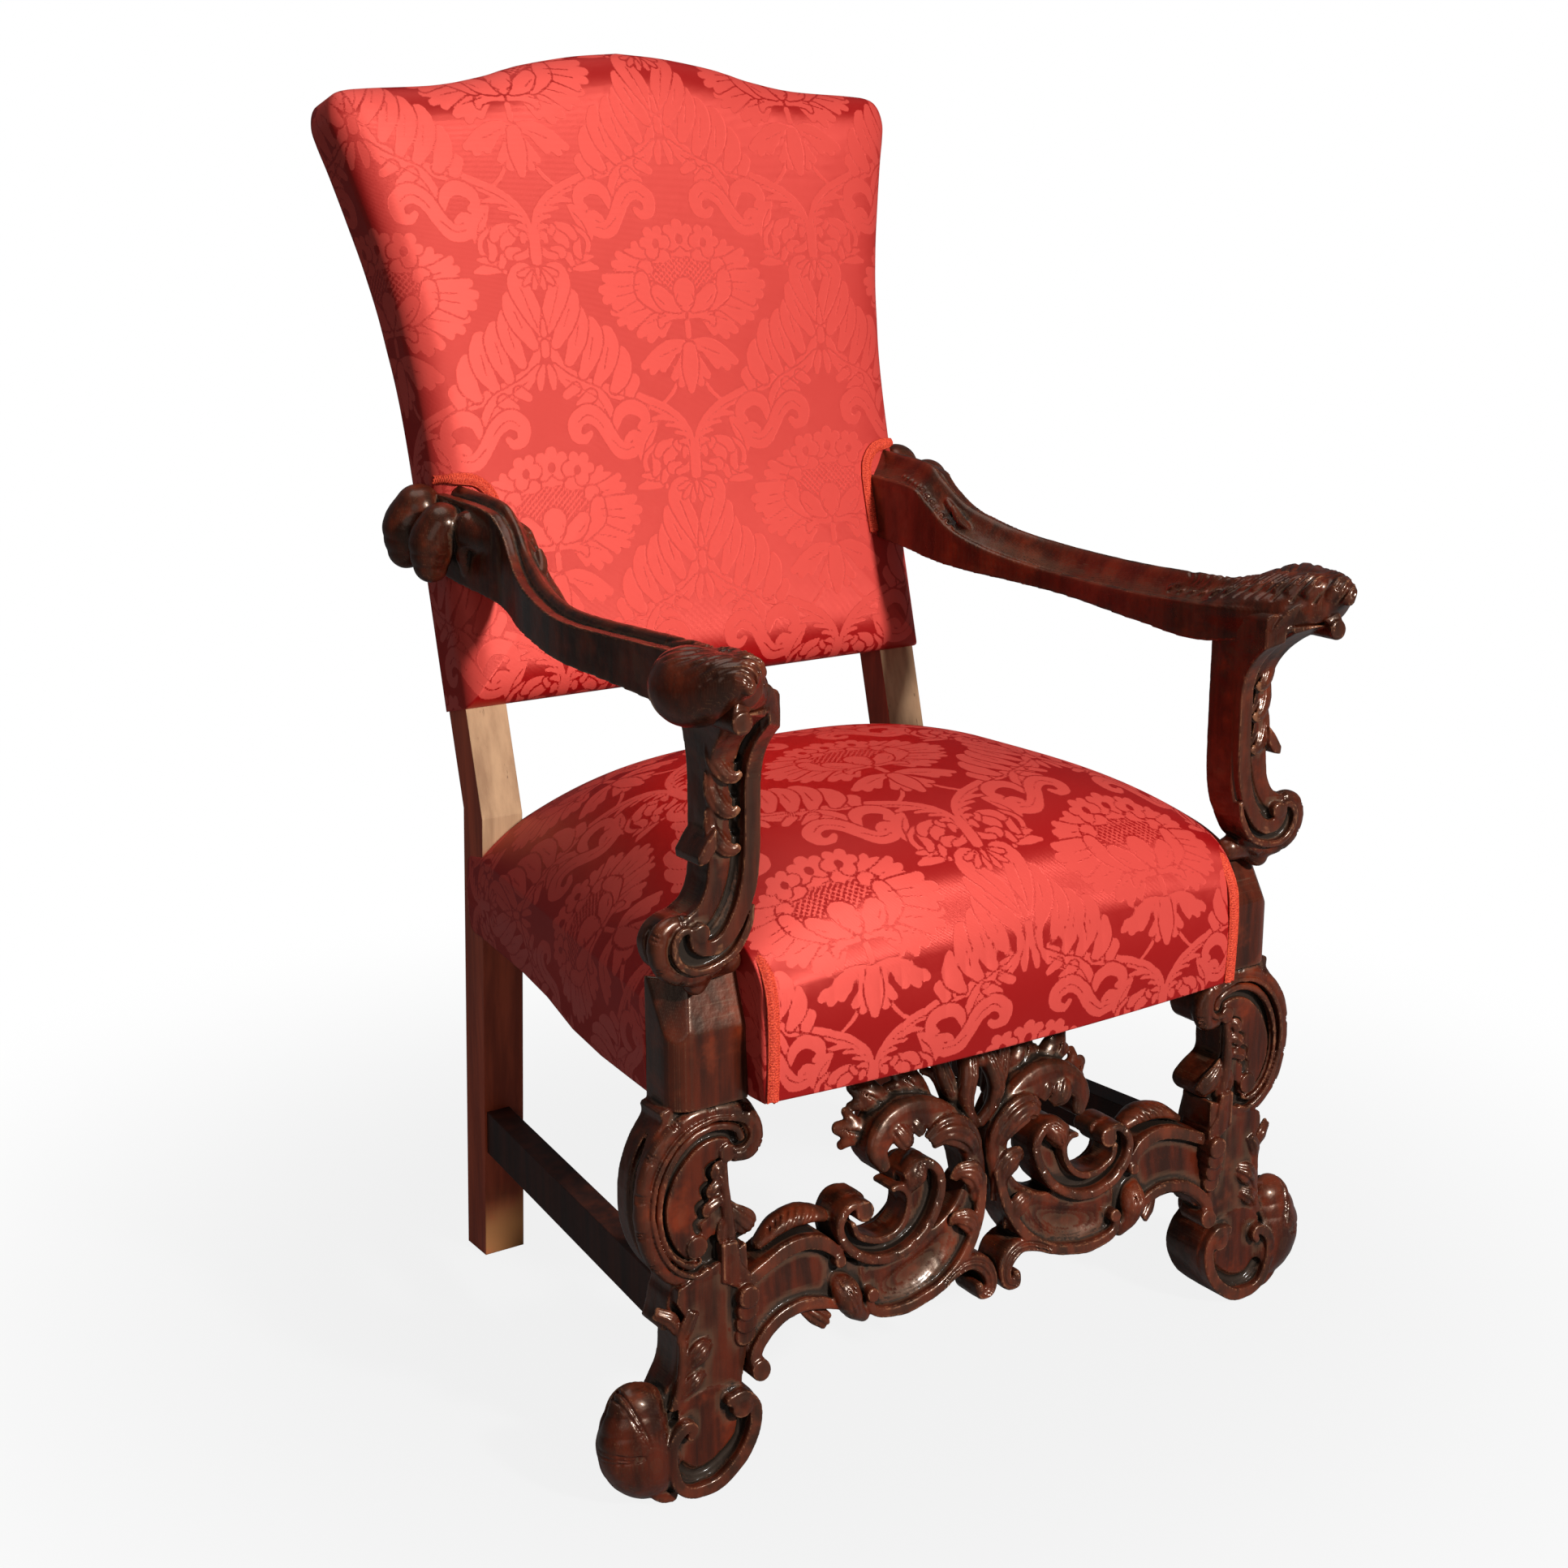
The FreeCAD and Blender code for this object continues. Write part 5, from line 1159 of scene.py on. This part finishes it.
def damaskOn(cloth):
    # The attribute of a piece from its points' places on the cloth
    return {"cloth": np.column_stack([cloth, damaskAt(cloth[:, 0], cloth[:, 1])])}


def evenly(points, spacing):
    # A closed outline sampled again at an even spacing
    points = np.vstack([points, points[:1]])
    run = np.concatenate([[0], np.cumsum(np.hypot(*np.diff(points, axis=0).T))])
    at = np.arange(0, run[-1], spacing)
    return np.stack([np.interp(at, run, points[:, 0]), np.interp(at, run, points[:, 1])], 1)


def gridFaces(rows, columns):
    index = np.arange(rows * columns).reshape(rows, columns)
    following = np.roll(index, -1, 1)
    return np.stack([index[:-1], following[:-1], following[1:], index[1:]], -1).reshape(-1, 4)


def closedGrid(rows, columns, reverse=False):
    # The faces of a grid whose first row is closed by one face in the middle
    faces = gridFaces(rows, columns).tolist()
    faces.append(list(range(columns))[::-1])
    return [face[::-1] for face in faces] if reverse else faces


def shares(bend, rows, edgeRows):
    # From the middle of a cover to its rim, with rows closer together past the bend
    return np.concatenate([np.linspace(0.01, bend, rows, endpoint=False), np.linspace(bend, 1.0, edgeRows)])


def outward(rim):
    # The way out from a closed outline at each of its points
    run = np.roll(rim, -1, 0) - np.roll(rim, 1, 0)
    run /= np.linalg.norm(run, axis=1)[:, None]
    return np.stack([run[:, 1], -run[:, 0]], 1)


# The seat: one skin from the crown to the rim, down the sides and under the rails
seatPiece = {
    "middle": (0.0, 232.0),
    "spacing": 1.6,
    "rows": (0.86, 130, 40),
    "edge": 416.5,
    "rise": 122.0,
    "crownAt": 250.0,
    "rear": 484.0,
    "hem": 337.0,
    "overhang": 13.0,
    "bow": 20.0,
    "reach": 322.0,
    "halfFront": 320.0,
    "halfRear": 259.0,
    "notch": (253.5, 44.5),
    "frontRoll": (4.0, 0.5),
    "rearFall": (1.6, 0.39),
    "sideFall": (3.3, 0.84),
    "sideHem": [(0, 0), (25, 5), (84, 1), (147, -3), (214, -3), (277, 5), (340, 7), (450, 4)],
    "offset": (18.0, 56.0),
    # How far the cloth is drawn aside on the front, and where that starts and how soon it is full
    "drawn": (22.0, -190.0, 80.0),
    "stretch": 1.2,
    "swell": 3.0,
    "turnedUnder": (2, 6, 12),
}


def seatFront(x):
    return -seatPiece["overhang"] - seatPiece["bow"] * (1 - (x / seatPiece["reach"]) ** 2)


def seatRim():
    shape = seatPiece
    inner, behind = shape["notch"]
    half = [(inner, 10), (inner, behind), (shape["halfFront"], behind),
            (shape["halfRear"] + 3, shape["rear"] - 36), (shape["halfRear"], shape["rear"])]
    return np.array([(x, seatFront(x)) for x in np.linspace(1.5 - inner, inner - 1.5, 25)] + half
                    + [(-x, y) for x, y in half[::-1]])


def seatHeight(x, y):
    # A dome with a full front roll, and softer falls to the sides and the rear
    shape = seatPiece
    share = (y - shape["notch"][1]) / (shape["rear"] - shape["notch"][1])
    half = shape["halfFront"] + share * (shape["halfRear"] - shape["halfFront"])
    crown, front = shape["crownAt"], seatFront(x)

    def fall(part, kind):
        return np.maximum(1 - np.clip(part, 0, 1) ** shape[kind][0], 0) ** shape[kind][1]

    toFront = fall((crown - y) / (crown - front), "frontRoll")
    toRear = fall((y - crown) / (shape["rear"] - crown), "rearFall")
    toSide = fall(np.abs(x) / half, "sideFall")
    return shape["edge"] + shape["rise"] * np.where(y < crown, toFront, toRear) * toSide


def seatCloth(x, y):
    # Places on the cloth: lengths along the dome's two middle lines, with the front roll level all across
    shape = seatPiece
    crown, front = shape["crownAt"], seatFront(0.0)
    level = np.where(y < crown, crown - (crown - y) * (crown - front) / (crown - seatFront(x)), y)
    across, along = np.linspace(-325, 325, 1301), np.linspace(front, shape["rear"], 1401)
    lines = ((across, seatHeight(across, np.full(len(across), crown)), 0.0, x),
             (along, seatHeight(np.zeros(len(along)), along), crown, level))
    places = []
    for line, height, origin, at in lines:
        run = np.concatenate([[0], np.cumsum(np.hypot(np.diff(line), np.diff(height)))])
        places.append(np.interp(at, line, run) - np.interp(origin, line, run))
    return np.column_stack(places)


def makeSeat():
    shape = seatPiece
    rim = evenly(seatRim(), shape["spacing"])
    middle = np.array(shape["middle"])
    normal = outward(rim)
    rows, clothRows = [], []
    for share in shares(*shape["rows"]):
        flat = middle + share * (rim - middle)
        rows.append(np.column_stack([flat, seatHeight(*flat.T)]))
        clothRows.append(seatCloth(*flat.T))
    # Straight down the faces to the hem, and under
    top, edgeCloth = rows[-1][:, 2], clothRows[-1]
    straight = np.where(np.abs(normal[:, :1]) > np.abs(normal[:, 1:]), [[1, 0]], [[0, 1]]) * np.sign(normal)
    hem = shape["hem"] + np.interp(rim[:, 1], *np.array(shape["sideHem"], float).T)
    for share in np.linspace(0, 1, 52)[1:]:
        swell = shape["swell"] * math.sin(math.pi * share)
        rows.append(np.column_stack([rim + normal * swell, top + share * (hem - top)]))
        clothRows.append(edgeCloth + straight * (share * shape["stretch"] * (top - hem))[:, None])
    for inset in shape["turnedUnder"]:
        rows.append(np.column_stack([rim - normal * inset, hem - 0.6]))
        clothRows.append(clothRows[-1] + straight * 3)
    points = np.vstack(rows)
    cloth = np.vstack(clothRows) + shape["offset"]
    aside, start, over = shape["drawn"]
    share = np.clip((start - cloth[:, 1]) / over, 0, 1)
    cloth[:, 0] -= aside * share * share * (3 - 2 * share)
    return points, closedGrid(len(rows), len(rim)), damaskOn(cloth)


points, faces, attributes = makeSeat()
seat = makePiece(
    "seat_pad", placed(points), faces, damask, attributes, ["seat_cover", "seat_stuffing"])
threadsLevel(seat)
print("seat")

# The back: one skin over the face and round the edges, leaned to the rake
backPiece = {
    "rake": math.radians(14.3),
    "front": 476.3,
    "bottom": 562.0,
    "depth": 25.0,
    "crown": 5.0,
    "roll": (16, 0.55),
    "thickness": 38.0,
    "turnedUnder": (3, 8),
    "spacing": 1.7,
    "rows": (0.88, 150, 40),
    "middle": (0.0, 300.0),
    "edge": [(262, -2), (262, 250), (269, 350), (278, 410), (289, 460), (300, 505), (307, 530), (310, 547),
             (306, 563), (295, 571), (270, 574), (200, 578), (150, 587), (125, 594), (100, 600), (50, 608),
             (0, 612)],
    "flower": 382.0,
    "axis": [(0, -4), (168, 5), (325, 21), (425, 26), (600, 19)],
}


def backCloth(flat):
    # Places on the cloth, from the middle flower, along a middle line that leans a little
    middle = np.interp(flat[:, 1], *np.array(backPiece["axis"], float).T)
    return np.column_stack([flat[:, 0] - middle, flat[:, 1] - backPiece["flower"]])


def raked(points):
    x, rear, up = np.asarray(points, float).T
    turn = backPiece["rake"]
    y = backPiece["front"] + up * math.sin(turn) + rear * math.cos(turn)
    z = backPiece["bottom"] + up * math.cos(turn) - rear * math.sin(turn)
    return np.stack([x, y, z], 1)


def backRim():
    edge = smoothLine(backPiece["edge"], 4.0)
    return np.vstack([edge, edge[-2::-1] * (-1, 1)])


def upright(flat, rear):
    # A row of points of the upright back, at a distance behind its front plane
    return np.column_stack([flat[:, 0], np.full(len(flat), rear), flat[:, 1]])


def makeBack():
    rim = evenly(backRim(), backPiece["spacing"])
    middle = np.array(backPiece["middle"])
    normal = outward(rim)
    rows, clothRows = [], []
    previous, arc = None, np.zeros(len(rim))
    for share in shares(*backPiece["rows"]):
        flat = middle + share * (rim - middle)
        fullness, roundness = backPiece["roll"]
        depth = -backPiece["depth"] * np.maximum(1 - share ** fullness, 0) ** roundness
        ring = upright(flat, depth - backPiece["crown"] * (1 - share ** 2))
        if previous is not None:
            arc = arc + np.linalg.norm(ring - previous, axis=1) - np.hypot(*(ring - previous)[:, ::2].T)
        rows.append(ring)
        clothRows.append(flat + normal * arc[:, None])
        previous = ring
    for share in np.linspace(0, 1, 18)[1:]:
        rear = backPiece["thickness"] * share
        rows.append(upright(rim, rear))
        clothRows.append(rim + normal * (arc + rear)[:, None])
    for inset in backPiece["turnedUnder"]:
        rows.append(upright(rim - normal * inset, backPiece["thickness"] + 0.8))
        clothRows.append(clothRows[-1] + normal * inset)
    cloth = backCloth(np.vstack(clothRows))
    return raked(np.vstack(rows)), closedGrid(len(rows), len(rim)), damaskOn(cloth)


points, faces, attributes = makeBack()
back = makePiece(
    "back_pad", placed(points), faces, damask, attributes, ["back_cover", "back_stuffing"])
threadsLevel(back)


def makeOutsideBack():
    rim = evenly(backRim(), 6.0)
    middle = np.array(backPiece["middle"])
    rows = []
    for share in np.linspace(0.02, 0.985, 60):
        rows.append(upright(middle + share * (rim - middle), backPiece["thickness"] + 1.2))
    points = np.vstack(rows)
    return raked(points), closedGrid(len(rows), len(rim), True), damaskOn(backCloth(points[:, ::2]))


points, faces, attributes = makeOutsideBack()
outside = makePiece(
    "outside_back", placed(points), faces, damask, attributes, ["outside_back_cover"])
print("back")

# Gimp braid: three cords that weave side to side along a line on the cloth, between two edge cords
gimpPiece = {
    "width": 12.0,
    "cord": 1.3,
    "edgeCord": 1.1,
    "edgeLift": 1.0,
    "lift": (1.4, 0.9),
    "spacing": 0.9,
    "pitch": 7.0,
    "sides": 6,
    "seat": [(246, -22, 338), (246, -24, 380), (246, -23, 418), (245, -14, 441), (244, 2, 456),
             (243, 22, 468)],
    "arm": [(212, -27, 120), (211, -27, 160), (213, -27, 188), (226, -26, 205), (248, -22, 210),
            (262, -8, 212)],
}


def braid(line, normals):
    # Cords woven along (x, y, z) points, standing on the side that the normals point to
    line = np.asarray(line, float)
    run = np.concatenate([[0], np.cumsum(np.linalg.norm(np.diff(line, axis=0), axis=1))])
    at = np.arange(0, run[-1], gimpPiece["spacing"])
    middle = np.stack([np.interp(at, run, line[:, c]) for c in range(3)], 1)
    normal = np.stack([np.interp(at, run, np.asarray(normals, float)[:, c]) for c in range(3)], 1)
    normal /= np.linalg.norm(normal, axis=1)[:, None]
    along = np.gradient(middle, axis=0)
    along /= np.linalg.norm(along, axis=1)[:, None]
    side = np.cross(normal, along)
    points, faces = [], []
    half = gimpPiece["width"] / 2 - gimpPiece["cord"]
    angles = np.linspace(0, 2 * math.pi, gimpPiece["sides"], endpoint=False)

    def cord(path, first, second, radius):
        base = sum(len(p) for p in points)
        rings = [path + radius * (first * math.cos(a) + second * math.sin(a)) for a in angles]
        points.append(np.stack(rings, 1).reshape(-1, 3))
        faces.append(gridFaces(len(path), gimpPiece["sides"]) + base)

    for phase in (0, 2 * math.pi / 3, 4 * math.pi / 3):
        turn = 2 * math.pi * at / gimpPiece["pitch"] + phase
        weave = half * np.sin(turn)
        lift = gimpPiece["lift"][0] + gimpPiece["lift"][1] * np.cos(2 * turn)
        path = middle + side * weave[:, None] + normal * lift[:, None]
        heading = np.gradient(path, axis=0)
        heading /= np.linalg.norm(heading, axis=1)[:, None]
        first = np.cross(heading, normal)
        first /= np.linalg.norm(first, axis=1)[:, None]
        cord(path, first, np.cross(first, heading), gimpPiece["cord"])
    for sign in (-1, 1):
        path = middle + side * (sign * half) + normal * gimpPiece["edgeLift"]
        cord(path, side, normal, gimpPiece["edgeCord"])
    return np.vstack(points), np.vstack(faces)


braidMaterial = plainCloth("gimp_braid", tone(170, 40, 28), tone(226, 84, 54), 900.0, 0.6)
seatLine = smoothLine(gimpPiece["seat"])
seatNormal = [(0, -1, max(0, (z - 410) / 40)) for x, y, z in seatLine]
points, faces = braid(seatLine, seatNormal)
bothSides("seat_braid", (points, faces, {}), braidMaterial, "seat_gimp")
armLine = raked(smoothLine(gimpPiece["arm"]))
armNormal = raked([(0, -1, 0)])[0] - raked([(0, 0, 0)])[0]
points, faces = braid(armLine, np.tile(armNormal, (len(armLine), 1)))
bothSides("arm_braid", (points, faces, {}), braidMaterial, "arm_gimp")
print("gimp")

# CAD pieces that stay as they are
finishes = {
    "rear_post": postWood(),
    "side_stretcher": plainWood("stretcher_walnut", tone(40, 15, 8), tone(70, 28, 14)),
    "seat_rail": plainWood("frame_beech", tone(150, 112, 74), tone(188, 150, 104), 0.65),
    "webbing": plainCloth("jute_webbing", tone(120, 92, 58), tone(168, 138, 96), 500.0),
    "hessian": plainCloth("hessian", tone(132, 104, 66), tone(176, 146, 102), 700.0),
    "tacks": metal("blued_iron", tone(58, 58, 64), 0.4),
    "screws": metal("screw_steel", tone(120, 118, 114), 0.35),
}
finishes["corner_block"] = finishes["crest_rail"] = finishes["lower_back_rail"] = finishes["seat_rail"]
for name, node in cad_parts.items():
    for label, material in finishes.items():
        if label in name:
            node.data.materials.clear()
            node.data.materials.append(material)
print("frame pieces")

# Floor, light and camera
stagePiece = {
    "floor": 30.0,
    "camera": (-1.1606, -1.7020, 1.0472),
    "yaw": 33.58,
    "pitch": 15.10,
    "roll": -0.19,
    "lens": 52.45,
    # painted shade: the share of white glow near the chair, the rest being the floor's own dark shading
    "nearTone": 0.86,
    "fade": (0.35, 1.25),
    "mirrored": 0.04,
    "ambient": 0.06,
    # Name, place, target, size and power
    "lights": [("key", (0.8, -3.9, 2.5), (0, 0, 0.6), 0.4, 250),
               ("sky", (-0.4, 0.2, 3.4), (0, 0, 0.5), 2.4, 26),
               ("fill", (-2.6, -2.4, 1.6), (0, 0, 0.6), 2.0, 9)],
}


def makeFloor():
    # Pale near the chair, where a painted shade lets a share of the floor's real shading show, and, to the
    # camera, white farther out
    size = stagePiece["floor"]
    mesh = bpy.data.meshes.new("floor")
    corners = [(-size, -size, 0), (size, -size, 0), (size, size, 0), (-size, size, 0)]
    mesh.from_pydata(corners, [], [(0, 1, 2, 3)])
    shader = Shader("floor", Base_Color=(0.2, 0.2, 0.2, 1.0), Roughness=0.9, Specular_IOR_Level=0.1)
    where = shader.node("ShaderNodeTexCoord", {}, {}, "Object")
    away = shader.node("ShaderNodeVectorMath", {"operation": "LENGTH"}, {0: where}, "Value")
    white = shader.node("ShaderNodeEmission", {}, {"Strength": 1.0})
    near = stagePiece["nearTone"]
    # Painted shade: less white glow near the chair, so the floor greys there over its real shadow
    shader.over(shader.inView() * (near + (1 - near) * away.between(*stagePiece["fade"])), white)
    mesh.materials.append(shader.material)
    floor = bpy.data.objects.new("floor", mesh)
    bpy.context.scene.collection.objects.link(floor)


def makeLight(name, place, target, size, power):
    data = bpy.data.lights.new(name, "AREA")
    data.shape = "DISK"
    data.size = size
    data.energy = power
    light = bpy.data.objects.new(name, data)
    light.location = place
    light.rotation_euler = (Vector(target) - Vector(place)).to_track_quat("-Z", "Y").to_euler()
    bpy.context.scene.collection.objects.link(light)


def makeWorld():
    shader = Shader("studio", True, Color=(0.92, 0.94, 1.0, 1.0), Strength=stagePiece["ambient"])
    white = shader.node("ShaderNodeBackground", {}, {"Color": (1.0, 1.0, 1.0, 1.0), "Strength": 1.0})
    shader.over(shader.inView(), white)
    bpy.context.scene.world = shader.material


def makeCamera():
    data = bpy.data.cameras.new("camera")
    data.lens = stagePiece["lens"]
    data.sensor_width = 36.0
    data.clip_end = 100.0
    camera = bpy.data.objects.new("camera", data)
    turn = Matrix.Rotation(math.radians(-stagePiece["yaw"]), 4, "Z")
    tilt = Matrix.Rotation(math.radians(90 - stagePiece["pitch"]), 4, "X")
    roll = Matrix.Rotation(math.radians(stagePiece["roll"]), 4, "Z")
    camera.matrix_world = Matrix.Translation(stagePiece["camera"]) @ turn @ tilt @ roll
    bpy.context.scene.collection.objects.link(camera)
    bpy.context.scene.camera = camera


makeFloor()
makeWorld()
for light in stagePiece["lights"]:
    makeLight(*light)
makeCamera()
bpy.context.scene.view_settings.view_transform = "Standard"
